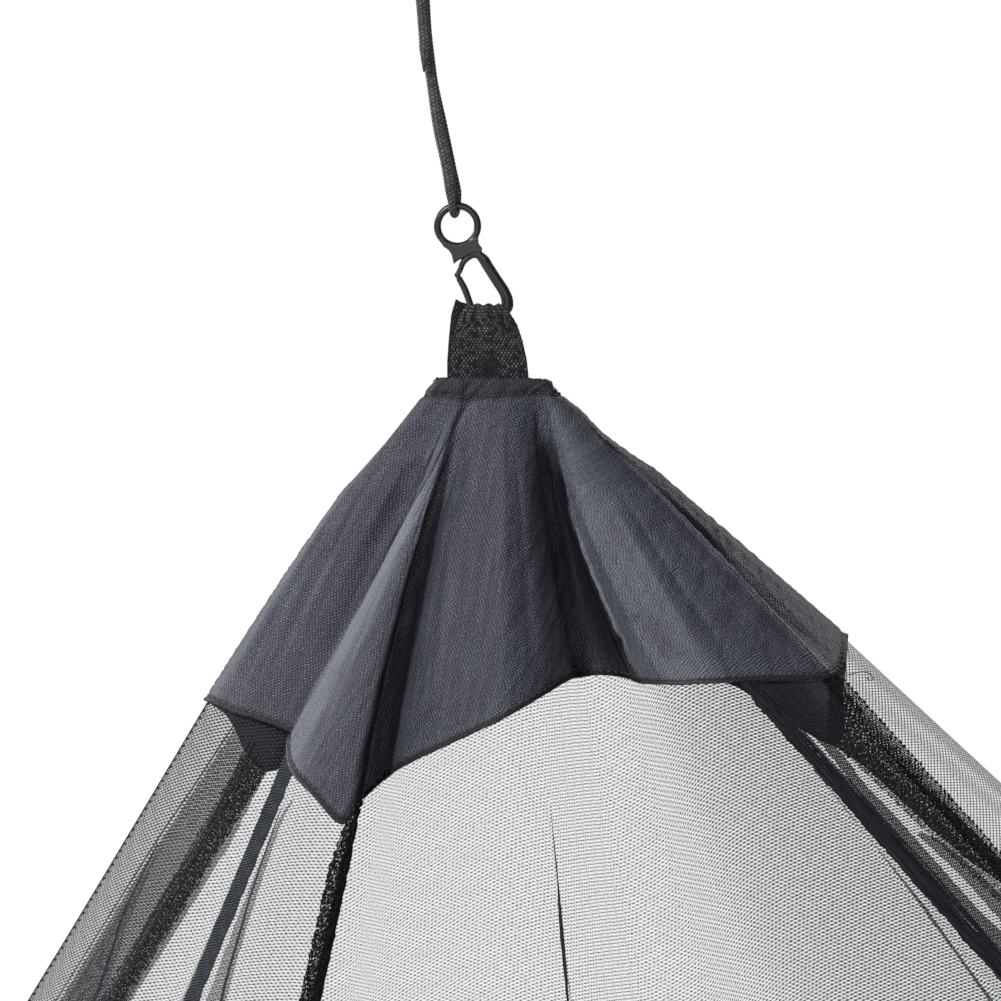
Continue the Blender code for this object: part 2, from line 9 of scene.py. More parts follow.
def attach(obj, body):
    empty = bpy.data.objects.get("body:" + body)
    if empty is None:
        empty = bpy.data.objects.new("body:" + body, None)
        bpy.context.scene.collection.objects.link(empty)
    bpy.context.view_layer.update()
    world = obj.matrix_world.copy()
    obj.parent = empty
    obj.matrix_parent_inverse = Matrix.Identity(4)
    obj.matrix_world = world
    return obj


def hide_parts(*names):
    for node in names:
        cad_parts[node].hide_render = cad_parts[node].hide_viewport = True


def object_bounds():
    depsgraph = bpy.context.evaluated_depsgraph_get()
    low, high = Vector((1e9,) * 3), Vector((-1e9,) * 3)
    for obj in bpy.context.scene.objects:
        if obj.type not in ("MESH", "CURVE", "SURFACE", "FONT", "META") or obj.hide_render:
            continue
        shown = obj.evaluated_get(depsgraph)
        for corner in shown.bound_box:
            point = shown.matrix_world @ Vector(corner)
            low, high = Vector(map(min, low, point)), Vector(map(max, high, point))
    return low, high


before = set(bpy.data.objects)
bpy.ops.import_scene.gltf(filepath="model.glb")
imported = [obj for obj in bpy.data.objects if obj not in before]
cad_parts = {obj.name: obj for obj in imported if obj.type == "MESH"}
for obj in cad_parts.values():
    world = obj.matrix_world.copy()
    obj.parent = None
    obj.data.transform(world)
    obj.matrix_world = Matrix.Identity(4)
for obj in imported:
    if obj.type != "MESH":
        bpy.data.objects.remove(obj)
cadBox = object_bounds()
mm = 0.001

# camera, level and far away so that the hanging net keeps its true proportions
camera = {
    "viewWidth": 0.3063,
    "middleX": 0.0237,
    "middleZ": -0.18915,
    "distance": 12.0,
    "sensor": 36.0,
    "nearest": 0.5,
    "farthest": 600.0,
}


def buildCamera():
    data = bpy.data.cameras.new("camera")
    data.sensor_width = camera["sensor"]
    data.lens = camera["sensor"] * camera["distance"] / camera["viewWidth"]
    data.clip_start, data.clip_end = camera["nearest"], camera["farthest"]
    made = bpy.data.objects.new("camera", data)
    made.location = (camera["middleX"], -camera["distance"], camera["middleZ"])
    made.rotation_euler = (radians(90), 0, 0)
    bpy.context.scene.collection.objects.link(made)
    bpy.context.scene.camera = made


buildCamera()
print("stage: camera")


# node helpers


def newMaterial(name):
    made = bpy.data.materials.new(name)
    made.use_nodes = True
    return made, made.node_tree, made.node_tree.nodes["Principled BSDF"]


def setInputs(made, inputs):  # joins another node's output, or sets a plain value
    for name, value in inputs.items():
        if isinstance(value, bpy.types.NodeSocket):
            made.id_data.links.new(value, made.inputs[name])
        else:
            made.inputs[name].default_value = value


def addNode(tree, kind, inputs=None, **settings):
    made = tree.nodes.new(kind)
    for name, value in settings.items():
        setattr(made, name, value)
    setInputs(made, inputs or {})
    return made.outputs


def worked(kind, inputs, output=0, **settings):  # what a node makes of other nodes' outputs
    tree = next(value.id_data for value in inputs.values() if isinstance(value, bpy.types.NodeSocket))
    return addNode(tree, kind, inputs, **settings)[output]


def maths(operation, *values):
    return worked("ShaderNodeMath", dict(enumerate(values)), operation=operation)


def product(value, *others):
    for other in others:
        value = maths("MULTIPLY", value, other)
    return value


def objectPlace(tree):  # metres, in the model's own frame
    return addNode(tree, "ShaderNodeTexCoord")["Object"]


def clothPlace(tree, layer="cloth"):  # millimetres across and down the cloth
    place = addNode(tree, "ShaderNodeUVMap", uv_map=layer)[0]
    across, down, _ = addNode(tree, "ShaderNodeSeparateXYZ", {0: place})
    return place, across, down


def noiseAt(place, scale, detail=2.0, roughness=0.5):
    inputs = {"Vector": place, "Scale": scale, "Detail": detail, "Roughness": roughness}
    return worked("ShaderNodeTexNoise", inputs)


def stretched(place, across, down):
    return worked("ShaderNodeMapping", {"Vector": place, "Scale": (across, down, 1.0)})


def ramp(value, low, high, bottom=0.0, top=1.0):
    return worked("ShaderNodeMapRange", {0: value, 1: low, 2: high, 3: bottom, 4: top})


def wave(value, period):  # from 0 to 1 and back for each period
    return maths("MULTIPLY_ADD", maths("SINE", maths("MULTIPLY", value, 2 * pi / period)), 0.5, 0.5)


def mixColour(part, *colours):
    ends = [c if isinstance(c, bpy.types.NodeSocket) else (*c, 1.0) for c in colours]
    return worked("ShaderNodeMix", dict(zip((0, 6, 7), (part, *ends))), 2, data_type="RGBA")


def addBump(shader, height, depth):  # depth in millimetres
    inputs = {"Height": height, "Distance": depth * mm, "Strength": 1.0}
    setInputs(shader, {"Normal": worked("ShaderNodeBump", inputs)})


# mesh helpers


def gridSheet(built, places, coords, closed=False, extra=None):
    # a grid whose rows run up the piece, so that its faces point outwards
    rows, columns = places.shape[:2]
    made = bmesh.ops.create_grid(built, x_segments=columns - 1, y_segments=rows - 1, size=1.0)["verts"]
    spots = places[::-1].reshape(-1, 3) * mm
    for vert, spot in zip(made, spots):
        vert.co = spot
    faces = {f for v in made for f in v.link_faces}
    for face in faces:
        face.smooth = True
    for name, values in (("cloth", coords), ("extra", extra)):
        if values is not None:
            layer = built.loops.layers.uv.get(name) or built.loops.layers.uv.new(name)
            pairs = dict(zip(made, values[::-1].reshape(-1, 2)))
            for face in faces:
                for loop in face.loops:
                    loop[layer].uv = pairs[loop.vert]
    if closed:
        bmesh.ops.remove_doubles(built, verts=made, dist=1e-7)
    return made


def closeEnds(built):
    open_ = [e for e in built.edges if e.is_boundary]
    bmesh.ops.holes_fill(built, edges=open_, sides=0)


def newPiece(name, built, look, body="canopy"):
    mesh = bpy.data.meshes.new(name)
    built.to_mesh(mesh)
    built.free()
    if look:
        mesh.materials.append(look)
    made = bpy.data.objects.new(name, mesh)
    bpy.context.scene.collection.objects.link(made)
    if body:
        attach(made, body)
    return made


def sheetPiece(name, places, coords, look, extra=None):  # a piece made of one sheet
    built = bmesh.new()
    gridSheet(built, places, coords, extra=extra)
    return newPiece(name, built, look)


def thicken(made, thick, offset):  # an offset of -1 puts the wall behind the face, 0 puts half on each side
    wall = made.modifiers.new("thickness", "SOLIDIFY")
    wall.thickness = thick * mm
    wall.offset = offset


def applied(made):  # the piece's modifiers become its mesh
    bpy.context.view_layer.update()
    held = made.evaluated_get(bpy.context.evaluated_depsgraph_get())
    mesh = bpy.data.meshes.new_from_object(held)
    made.modifiers.clear()
    made.data = mesh
    return made


def hermite(start, end, leave, arrive, part):
    square, cube = part * part, part * part * part
    return (
        start * (2 * cube - 3 * square + 1)
        + leave * (cube - 2 * square + part)
        + end * (3 * square - 2 * cube)
        + arrive * (cube - square)
    )


def lengths(steps):
    return np.sqrt((steps**2).sum(axis=-1, keepdims=True))


def runLengths(points):  # how far along a line each of its points lies
    return np.concatenate(([0.0], np.cumsum(lengths(np.diff(points, axis=0))[:, 0])))


def stacked(*parts):  # rows and columns of places or coordinates, from their parts
    return np.stack(np.broadcast_arrays(*parts), axis=2)


def smoothStep(value):
    value = np.clip(value, 0.0, 1.0)
    return value * value * (3 - 2 * value)


def smoothPath(points, steps):
    points = np.array(points, float)
    ends = np.vstack((2 * points[0] - points[1], points, 2 * points[-1] - points[-2]))
    gaps = np.diff(ends, axis=0)
    spans = lengths(gaps)
    back, ahead = spans[:-1], spans[1:]
    tangents = (gaps[:-1] / back * ahead + gaps[1:] / ahead * back) / (back + ahead)
    parts = (np.arange(steps) / steps)[:, None]
    path = [
        hermite(points[i], points[i + 1], tangents[i] * ahead[i], tangents[i + 1] * ahead[i], parts)
        for i in range(len(points) - 1)
    ]
    return np.vstack((*path, points[-1:]))


def evenPath(points, step):
    fine = smoothPath(points, 24)
    along = runLengths(fine[:, :3])
    marks = np.linspace(0.0, along[-1], max(3, int(round(along[-1] / step)) + 1))
    return np.stack([np.interp(marks, along, column) for column in fine.T], axis=1), marks


def pathFrames(path):  # a side and an up direction for each point, turned as little as can be
    tangents = np.gradient(path, axis=0)
    tangents /= lengths(tangents)
    side = Vector(tangents[0]).orthogonal().normalized()
    sides = []
    for tangent in tangents:
        tangent = Vector(tangent)
        side = (side - tangent * side.dot(tangent)).normalized()
        sides.append(side.copy())
    sides = np.array(sides)
    return tangents, sides, np.cross(tangents, sides)


def tubeGrid(path, size, sides, ups, turns, wide=1.0, tall=1.0):  # a round surface about a path
    around = (
        sides[:, None] * (wide * np.cos(turns))[None, :, None]
        + ups[:, None] * (tall * np.sin(turns))[None, :, None]
    )
    return path[:, None] + size[:, None, None] * around


# cords: a braid of sixteen yarns, over two and under two, round a smooth core

cord = {
    "diameter": 3.6,
    "carriers": 8,  # yarns each way
    "pitch": 9.6,
    "yarnHalfWidth": 0.44,
    "yarnHalfThick": 0.21,
    "weaveDepth": 0.21,
    "coreRadius": 1.32,
    "coreSides": 10,
    "step": 0.27,
    "yarnSides": 6,
    "odd": 4,  # one yarn in so many is of the paler kind
    # how thin the load makes it under the ring, how far along it that is, and its reach
    "pressed": 0.66,
    "pressedAt": 0.497,
    "pressedReach": 0.05,
    "dark": (0.008, 0.009, 0.012),
    "pale": (0.018, 0.02, 0.026),
    "crown": (0.165, 0.172, 0.2),  # where a yarn catches the light
    "bump": 0.06,
}

# where the cord's legs run, in millimetres from the top of its eye
frontLeg = (
    (0.0, 0.0, -35.1), (0.9, -0.2, -45.2), (2.45, -0.6, -58.3), (4.9, -1.7, -75.8), (7.5, -2.7, -88.0),
)
backLeg = (
    (10.2, 3.2, -96.0), (8.6, 3.3, -88.0), (6.05, 3.5, -75.8), (1.7, 3.8, -54.4), (0.3, 3.9, -35.1),
)
# the cut end beside the sling grows thinner over its taper, given as parts of its length
cutEnd = {
    "route": ((-0.6, -3.9, -35.1), (0.0, -4.3, -42.1), (0.5, -4.6, -49.8), (0.3, -4.6, -58.0)),
    "end": 1.03,
    "taper": 0.34,
    "least": 0.12,
    "power": 0.8,
}
eye = {
    "halfWidth": 6.5,
    "foot": -23.7,
    "top": -1.8,
    # how far out and how far up one side of it goes, as parts
    "side": ((0.34, 0.0), (0.34, 0.06), (0.6, 0.24), (0.95, 0.48), (0.86, 0.76), (0.45, 0.95)),
}
knot = {
    "top": -24.0,
    "base": -34.8,
    "wraps": 3,
    "wrapSteps": 12,
    "halfX": 4.3,
    "halfY": 6.2,
    # the legs inside it, as one round filling
    "legRadius": 2.6,
    "legScale": (0.9, 1.5, 1.0),
    "legInset": 0.2,
}
ring = {
    "centre": Vector((10.55, 0.0, -105.15)),
    "radius": 6.15,
    "bar": 2.2,
    "seatAngle": radians(8.5),
    "turnSteps": 6,  # of the cord's turn under its bar
    "turnLean": 0.7,
}
pieceGap = 0.3


def cordTurn():  # under the ring's bar
    lean, steps = ring["seatAngle"], ring["turnSteps"]
    seat = ring["centre"] + Vector((-sin(lean), 0.0, cos(lean))) * ring["radius"]
    radius = ring["bar"] / 2 + pieceGap + cord["diameter"] / 2 * cord["pressed"]
    turn = []
    for step in range(steps + 1):
        angle = pi * step / steps
        x, y, z = ring["turnLean"] * cos(angle), radius * cos(angle), radius * sin(angle)
        turn.append(seat - Vector((x, y, z)))
    return turn


def yarn(built, marks, frames, size, way, carrier):  # one yarn of the braid
    path, tangents, sides, ups = frames
    middle = cord["diameter"] / 2 - cord["yarnHalfThick"] - cord["weaveDepth"]
    lean = np.arctan2(2 * pi * middle, cord["pitch"])
    angle = way * 2 * pi * marks / cord["pitch"] + 2 * pi * carrier / cord["carriers"]
    crossing = 2 * cord["carriers"] * marks / cord["pitch"]
    phase = pi / 2 * (way * crossing + 2 * carrier - 0.5)
    height = (middle + way * cord["weaveDepth"] * np.cos(phase)) * size
    out = sides * np.cos(angle)[:, None] + ups * np.sin(angle)[:, None]
    aside = ups * np.cos(angle)[:, None] - sides * np.sin(angle)[:, None]
    across = tangents * sin(lean) - aside * (way * cos(lean))
    line = path + out * height[:, None]
    turns = np.linspace(0.0, 2 * pi, cord["yarnSides"] + 1)
    places = tubeGrid(line, size, across, out, turns, cord["yarnHalfWidth"], cord["yarnHalfThick"])
    coords = stacked(turns[None] * cord["yarnHalfWidth"], marks[:, None])
    crown = (way * np.cos(phase))[:, None] * 0.5 + 0.5  # one where the yarn is on top
    kind = np.full_like(coords[..., 0], (carrier + (way > 0)) % cord["odd"] == 0)
    gridSheet(built, places, coords, closed=True, extra=stacked(crown, kind))


def braid(built, route, taper=None):
    path, marks = evenPath(route, cord["step"])
    tangents, sides, ups = pathFrames(path)
    size = np.ones(len(path)) if taper is None else taper(marks / marks[-1])
    for way in (1, -1):
        for carrier in range(cord["carriers"]):
            yarn(built, marks, (path, tangents, sides, ups), size, way, carrier)
    turns = np.linspace(0.0, 2 * pi, cord["coreSides"] + 1)
    core = tubeGrid(path, cord["coreRadius"] * size, sides, ups, turns)
    coords = stacked(turns[None] * cord["coreRadius"], marks[:, None])
    gridSheet(built, core, coords, closed=True, extra=np.zeros_like(coords))
    closeEnds(built)
    bmesh.ops.recalc_face_normals(built, faces=built.faces)
    return path, marks[-1]


def pressedSize(part):  # thinner where the sling bears on the ring
    away = (part - cord["pressedAt"]) / cord["pressedReach"]
    return 1 - (1 - cord["pressed"]) * np.exp(-(away**4))


def cutSize(part):  # thinner towards the cut end
    return np.clip((cutEnd["end"] - part) / cutEnd["taper"], cutEnd["least"], 1.0) ** cutEnd["power"]


def cordLook():
    made, tree, shader = newMaterial("cordBraid")
    place, _, _ = clothPlace(tree)
    _, crown, kind = clothPlace(tree, "extra")
    strands = noiseAt(stretched(place, 3.2, 0.5), 1.0, 2.0)
    mottled = noiseAt(stretched(place, 1.0, 0.5), 0.9, 3.0)
    shine = product(
        ramp(crown, 0.62, 0.98), ramp(mottled, 0.38, 0.62), ramp(strands, 0.3, 0.62, 0.25, 1.0)
    )
    colour = mixColour(kind, cord["dark"], cord["pale"])
    setInputs(shader, {
        "Base Color": mixColour(shine, colour, cord["crown"]),
        "Roughness": ramp(mottled, 0.2, 0.8, 0.42, 0.62),
        "Sheen Weight": 0.15,
    })
    addBump(shader, strands, cord["bump"])
    return made


def buildCords(look):
    built = bmesh.new()
    path, length = braid(built, [*frontLeg, *cordTurn(), *backLeg], pressedSize)
    sling = newPiece("slingCord", built, look)
    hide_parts("cord_sling")
    built = bmesh.new()
    braid(built, cutEnd["route"], cutSize)
    tail = newPiece("cordTail", built, look)
    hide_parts("cord_tail")

    built = bmesh.new()
    rise = eye["top"] - eye["foot"]
    side = [(-eye["halfWidth"] * out, 0.0, eye["foot"] + rise * up) for out, up in eye["side"]]
    route = [*side, (0.0, 0.0, eye["foot"] + rise), *((-x, y, z) for x, y, z in reversed(side))]
    path, length = braid(built, route)
    loop = newPiece("cordEye", built, look)
    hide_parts("cord_eye")
    print("stage: cords")


def buildKnot(look):
    built = bmesh.new()
    radius = cord["diameter"] / 2
    tall = knot["top"] - knot["base"]
    steps = knot["wrapSteps"] * knot["wraps"]
    route = []
    for step in range(steps + 1):
        angle = -pi / 2 + 2 * pi * knot["wraps"] * step / steps
        level = knot["top"] - radius - (tall - 2 * radius) * step / steps
        route.append(((knot["halfX"] - radius) * cos(angle), (knot["halfY"] - radius) * sin(angle), level))
    braid(built, route)
    legs = bmesh.ops.create_cone(
        built, cap_ends=True, segments=16, radius1=knot["legRadius"] * mm, radius2=knot["legRadius"] * mm,
        depth=(tall - 2 * knot["legInset"]) * mm,
    )["verts"]
    middle = (0.0, 0.0, (knot["top"] + knot["base"]) / 2 * mm)
    bmesh.ops.scale(built, vec=knot["legScale"], verts=legs)
    bmesh.ops.translate(built, vec=middle, verts=legs)
    made = newPiece("cordKnot", built, look)
    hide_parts("cord_knot")
    print("stage: knot")


cordMaterial = cordLook()
buildCords(cordMaterial)
buildKnot(cordMaterial)


# clip: a die cast snap clip with a sprung gate, in dark lacquer

clip = {
    "hinge": Vector((0.0, 0.0, -15.0)),  # from the ring's centre
    "knuckle": 0.95,
    "pin": 0.4,
    "cheekInner": 0.75,
    "cheekOuter": 1.25,
    "cheekWidth": 1.6,
    "gateThick": 0.9,
    "gateBar": 2.05,
    "gateTip": Vector((4.05, 0.0, -24.2)),
    "gateBend": Vector((1.85, 0.0, -18.6)),
    "neckStart": 0.4,
    "neckLength": 1.9,
    "neckWidth": 1.3,
    "baseThick": 2.5,
    "pinProud": 0.15,
    "gateRadii": (0.92, 1.0, 0.95),  # of its bar from the hinge to its tip, as parts
    "voxel": 0.15,
    "gateVoxel": 0.12,
    "lacquer": (0.011, 0.012, 0.016),
    # painted highlight: paler on the sharpest edges, in patches
    "edgeHighlight": (0.07, 0.073, 0.088),
    "bump": 0.008,
    # the hook's middle line from its nose round the bottom, up the spine and over to the hinge:
    # X, Z and radius
    "hook": (
        (3.5, -23.7, 0.9), (4.2, -25.5, 1.15), (6.3, -26.9, 1.4), (9.9, -27.3, 1.5),
        (13.2, -26.7, 1.65), (15.1, -24.8, 1.85), (15.2, -22.8, 1.82), (14.2, -20.0, 1.72),
        (12.5, -17.3, 1.7), (10.8, -14.7, 1.68), (9.2, -12.2, 1.66), (7.8, -10.0, 1.62),
        (6.7, -9.0, 1.36), (5.1, -8.75, 1.1), (3.1, -9.75, 0.96), (1.55, -11.5, 0.9),
        (0.95, -13.0, 0.88), (0.55, -14.2, 0.86),
    ),
    # the shoulder between the ring and the hook, with the stop that points down beside the gate
    "shoulder": (
        (-5.6, -4.2), (-4.3, -6.3), (-2.7, -7.4), (-1.8, -8.8), (-1.45, -10.4), (-1.15, -11.7),
        (-0.3, -10.9), (1.1, -10.1), (2.9, -9.0), (4.8, -8.3), (7.3, -8.0), (7.6, -6.8), (6.5, -5.4),
        (6.3, -3.4), (3.6, -4.6), (0.0, -5.8), (-3.0, -5.2),
    ),
}


def addBlock(built, size, centre, turn):
    made = bmesh.ops.create_cube(built, size=mm)["verts"]
    place = Matrix.Translation(centre * mm) @ Matrix.Rotation(turn, 4, "Y") @ Matrix.Diagonal((*size, 1.0))
    bmesh.ops.transform(built, matrix=place, verts=made)


def addDisc(built, radius, depth, centre):
    made = bmesh.ops.create_cone(
        built, cap_ends=True, segments=32, radius1=radius * mm, radius2=radius * mm, depth=depth * mm
    )["verts"]
    place = Matrix.Translation(centre * mm) @ Matrix.Rotation(pi / 2, 4, "X")
    bmesh.ops.transform(built, matrix=place, verts=made)


def addBar(built, route, radii):  # a round bar of changing thickness
    path, _ = evenPath([(*place, radius) for place, radius in zip(route, radii)], 0.25)
    path, size = path[:, :3], path[:, 3]
    _, sides, ups = pathFrames(path)
    places = tubeGrid(path, size, sides, ups, np.linspace(0.0, 2 * pi, 25))
    gridSheet(built, places, np.zeros((*places.shape[:2], 2)), closed=True)
    closeEnds(built)


def melted(made, voxel, passes):  # joins what overlaps and softens its inner corners
    remesh = made.modifiers.new("cast", "REMESH")
    remesh.mode = "VOXEL"
    remesh.voxel_size = voxel * mm
    remesh.use_smooth_shade = True
    soft = made.modifiers.new("polish", "SMOOTH")
    soft.factor = 0.5
    soft.iterations = passes
    return applied(made)


def clipLook():
    made, tree, shader = newMaterial("clipLacquer")
    place = objectPlace(tree)
    grain = noiseAt(place, 1500.0, 3.0)
    edges = addNode(tree, "ShaderNodeNewGeometry")["Pointiness"]
    patches = noiseAt(place, 420.0, 3.0)
    # painted highlight on the sharpest edges, broken into patches
    paintedEdgeHighlight = product(ramp(edges, 0.54, 0.64), ramp(patches, 0.48, 0.68))
    setInputs(shader, {
        "Base Color": mixColour(paintedEdgeHighlight, clip["lacquer"], clip["edgeHighlight"]),
        "Roughness": ramp(grain, 0.3, 0.7, 0.34, 0.44),
        "Metallic": 0.15,
        "Coat Weight": 0.2,
        "Coat Roughness": 0.22,
    })
    addBump(shader, grain, clip["bump"])
    return made


def addRing(built, centre):
    section = bmesh.ops.create_circle(built, segments=24, radius=ring["bar"] / 2 * mm)["verts"]
    upright = Matrix.Rotation(pi / 2, 4, "X")
    aside = Matrix.Translation((ring["radius"] * mm, 0, 0))
    bmesh.ops.transform(built, matrix=aside @ upright, verts=section)
    geometry = [*built.verts, *built.edges]
    bmesh.ops.spin(
        built, geom=geometry, cent=(0, 0, 0), axis=(0, 0, 1), angle=2 * pi, steps=96, use_merge=True
    )
    bmesh.ops.remove_doubles(built, verts=built.verts, dist=1e-7)
    bmesh.ops.transform(built, matrix=Matrix.Translation(centre * mm) @ upright, verts=built.verts)


def addShoulder(built, centre):
    outline = [(centre + Vector((x, -clip["baseThick"] / 2, z))) * mm for x, z in clip["shoulder"]]
    plate = built.faces.new([built.verts.new(p) for p in outline])
    raised = bmesh.ops.extrude_face_region(built, geom=[plate])["geom"]
    top = [v for v in raised if isinstance(v, bmesh.types.BMVert)]
    bmesh.ops.translate(built, vec=(0, clip["baseThick"] * mm, 0), verts=top)


def buildClipBody(look, centre, hinge):
    built = bmesh.new()
    addRing(built, centre)
    route = [centre + Vector((x, 0.0, z)) for x, z, _ in clip["hook"]]
    addBar(built, route, [radius for _, _, radius in clip["hook"]])
    addShoulder(built, centre)
    arm = centre + Vector((clip["hook"][-2][0], 0.0, clip["hook"][-2][1]))
    reach = arm - hinge
    turn = Vector((0.0, 1.0)).angle_signed(Vector((reach.x, reach.z)))
    depth = clip["cheekOuter"] - clip["cheekInner"]
    for side in (-1, 1):
        aside = Vector((0.0, side * (clip["cheekInner"] + depth / 2), 0.0))
        addDisc(built, clip["knuckle"], depth, hinge + aside)
        addBlock(built, (clip["cheekWidth"], depth, reach.length), hinge + reach / 2 + aside, turn)
    addDisc(built, clip["pin"], 2 * (clip["cheekOuter"] + clip["pinProud"]), hinge)
    bmesh.ops.recalc_face_normals(built, faces=built.faces)
    body = melted(newPiece("clipBody", built, look), clip["voxel"], 5)
    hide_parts("clip_body")


def buildClipGate(look, centre, hinge):
    way = (centre + clip["gateTip"] - hinge).normalized()
    tilt = Vector((0.0, -1.0)).angle_signed(Vector((way.x, way.z)))
    neckMiddle = hinge + way * (clip["neckStart"] + clip["neckLength"] / 2)
    built = bmesh.new()
    addDisc(built, clip["knuckle"], clip["gateThick"], hinge)
    addBlock(built, (clip["neckWidth"], clip["gateThick"], clip["neckLength"]), neckMiddle, tilt)
    line = [neckMiddle - way * clip["neckStart"], centre + clip["gateBend"], centre + clip["gateTip"]]
    addBar(built, line, [clip["gateBar"] / 2 * part for part in clip["gateRadii"]])
    bmesh.ops.recalc_face_normals(built, faces=built.faces)
    gate = melted(newPiece("clipGate", built, look, "gate"), clip["gateVoxel"], 3)
    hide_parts("clip_gate")


def buildClip():
    look = clipLook()
    centre, hinge = ring["centre"], ring["centre"] + clip["hinge"]
    buildClipBody(look, centre, hinge)
    buildClipGate(look, centre, hinge)
    print("stage: clip")


buildClip()


# webbing loop: a plain weave tape drawn together where it goes over the clip

webbing = {
    "apex": Vector((19.9, 0.0, -151.4)),
    "thick": 1.15,
    "columns": 110,
    "step": 0.21,
    "yarn": (0.6, 0.84),  # half the space between raised yarns across, and the space between rows
    "relief": 0.07,
    "gathers": 2.5,
    "gatherDepth": 0.6,
    "bendFoot": 19.0,
    "bendHeight": 3.0,
    "pathSteps": 12,
    "selvedge": 0.9,
    "creaseTop": 20.0,  # height at which a crease reaches its place at the top
    "creaseFade": 6.0,
    # painted shade over its right side: how much, from which height, over how much, and how far across
    "shaded": (0.55, 9.0, 8.0, 0.55),
    "dark": (0.005, 0.005, 0.007),
    "light": (0.235, 0.24, 0.265),
    "bump": 0.12,
    # depth and height of each crossing, its left and right edges, and how far the left edge rises
    "crossings": (
        (-0.85, -8.0, -12.1, 12.5, 0.0), (-0.85, -1.0, -12.0, 12.5, 0.0), (-1.3, 5.0, -11.6, 11.9, 0.0),
        (-1.95, 11.0, -11.1, 10.6, 0.0), (-2.5, 16.0, -9.7, 8.9, 0.0), (-2.8, 19.3, -8.5, 6.9, 0.3),
        (-2.45, 20.7, -7.2, 4.9, 0.5), (-1.25, 21.2, -5.1, 3.8, 0.0), (0.00, 21.4, -4.8, 3.5, 0.0),
        (1.25, 21.2, -5.1, 3.8, 0.4), (2.45, 20.6, -7.4, 4.8, 1.8), (2.8, 19.3, -9.9, 6.9, 4.6),
        (2.5, 16.0, -11.3, 8.8, 3.0), (1.95, 11.0, -12.0, 10.5, 1.0), (1.3, 5.0, -12.5, 11.9, 0.0),
        (0.85, -1.0, -12.5, 12.5, 0.0), (0.85, -8.0, -12.5, 12.5, 0.0),
    ),
    # soft creases on its face: how far across at the foot and at the top, width, depth
    "creases": ((0.58, 0.6, 0.9, -0.55), (0.3, 0.4, 2.2, -0.35), (0.84, 0.74, 1.4, 0.4)),
    # the worn hollow over its seam, also darkened with painted shadow: how far across, height, half width,
    # half height, depth
    "hollow": (0.51, 2.6, 4.4, 3.8, -0.6),
}


def webbingLook():
    made, tree, shader = newMaterial("webbingWeave")
    place, across, along = clothPlace(tree)
    # the extra layer carries painted shade, which dims the weave's pale dots
    _, dark, _ = clothPlace(tree, "extra")
    warp, weft = (
        maths("SINE", maths("MULTIPLY", value, pi / space))
        for value, space in zip((across, along), webbing["yarn"])
    )
    crowns = maths("MULTIPLY_ADD", maths("MULTIPLY", warp, weft), 0.5, 0.5)
    mottled = noiseAt(place, 0.55, 4.0, 0.6)
    dots = product(
        ramp(crowns, 0.62, 0.95), ramp(mottled, 0.42, 0.68), ramp(dark, 0.0, 1.0, 1.0, 0.12)
    )
    setInputs(shader, {
        "Base Color": mixColour(dots, webbing["dark"], webbing["light"]),
        "Roughness": 0.75,
        "Specular IOR Level": 0.3,
    })
    fibres = maths("MULTIPLY_ADD", noiseAt(place, 5.0, 2.0), 0.4, crowns)
    addBump(shader, fibres, webbing["bump"])
    return made


def buildWebbing():
    rows = np.array(webbing["crossings"])
    line = np.column_stack((rows[:, 0], rows[:, 1], np.zeros(len(rows))))
    fine = smoothPath(line, webbing["pathSteps"])
    along = runLengths(fine)
    marks = np.linspace(0.0, along[-1], int(along[-1] / webbing["step"]))
    depth, height = (np.interp(marks, along, fine[:, k])[:, None] for k in (0, 1))
    knots = along[:: webbing["pathSteps"]]
    left, right, rise = (np.interp(marks, knots, rows[:, k])[:, None] for k in (2, 3, 4))
    across = np.linspace(0.0, 1.0, webbing["columns"] + 1)
    fullWidth = np.ptp(rows[-1, 2:4])
    drawn = 1.0 - (right - left) / fullWidth
    gather = webbing["gatherDepth"] * drawn * (1 - np.cos(2 * pi * webbing["gathers"] * across))
    x = left + (right - left) * across
    push = gather.copy()
    for foot, head, width, lift in webbing["creases"]:
        shift = foot + (head - foot) * np.clip(height / webbing["creaseTop"], 0, 1)
        away = (x - (left + (right - left) * shift)) / width
        push += lift * np.exp(-(away**2)) * np.clip(height / webbing["creaseFade"], 0, 1)
    u, v = across * fullWidth, marks[:, None]
    weave = np.sin(pi * u / webbing["yarn"][0]) * np.sin(pi * v / webbing["yarn"][1])
    inside = np.clip(np.minimum(across, 1 - across) * fullWidth / webbing["selvedge"], 0.0, 1.0)
    middle, level, wide, tall, dent = webbing["hollow"]
    away = ((across - middle) * fullWidth / wide) ** 2 + ((height - level) / tall) ** 2
    hollow = np.exp(-(away**2)) * (depth < 0)
    push += weave * inside * webbing["relief"] + dent * hollow
    top = np.clip((height - webbing["bendFoot"]) / webbing["bendHeight"], 0.0, None)
    y = depth + np.tanh(depth * 2.0) * push
    z = height + gather * top + rise * (1 - across) ** 7
    places = stacked(x, y, z) + np.array(webbing["apex"])
    much, foot, over, edge = webbing["shaded"]
    # painted shadow in the hollow, and painted shade over the right side
    shade = np.clip(hollow + much * smoothStep((height - foot) / over) * (across > edge), 0.0, 1.0)
    built = bmesh.new()
    gridSheet(built, places, stacked(u, v), extra=stacked(shade, shade))
    bmesh.ops.reverse_faces(built, faces=built.faces)
    made = newPiece("webbingLoop", built, webbingLook())
    thicken(made, webbing["thick"], 0.0)
    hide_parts("webbing_loop")
    print("stage: webbing")


buildWebbing()


# the canopy's surface, the same folds as its solids

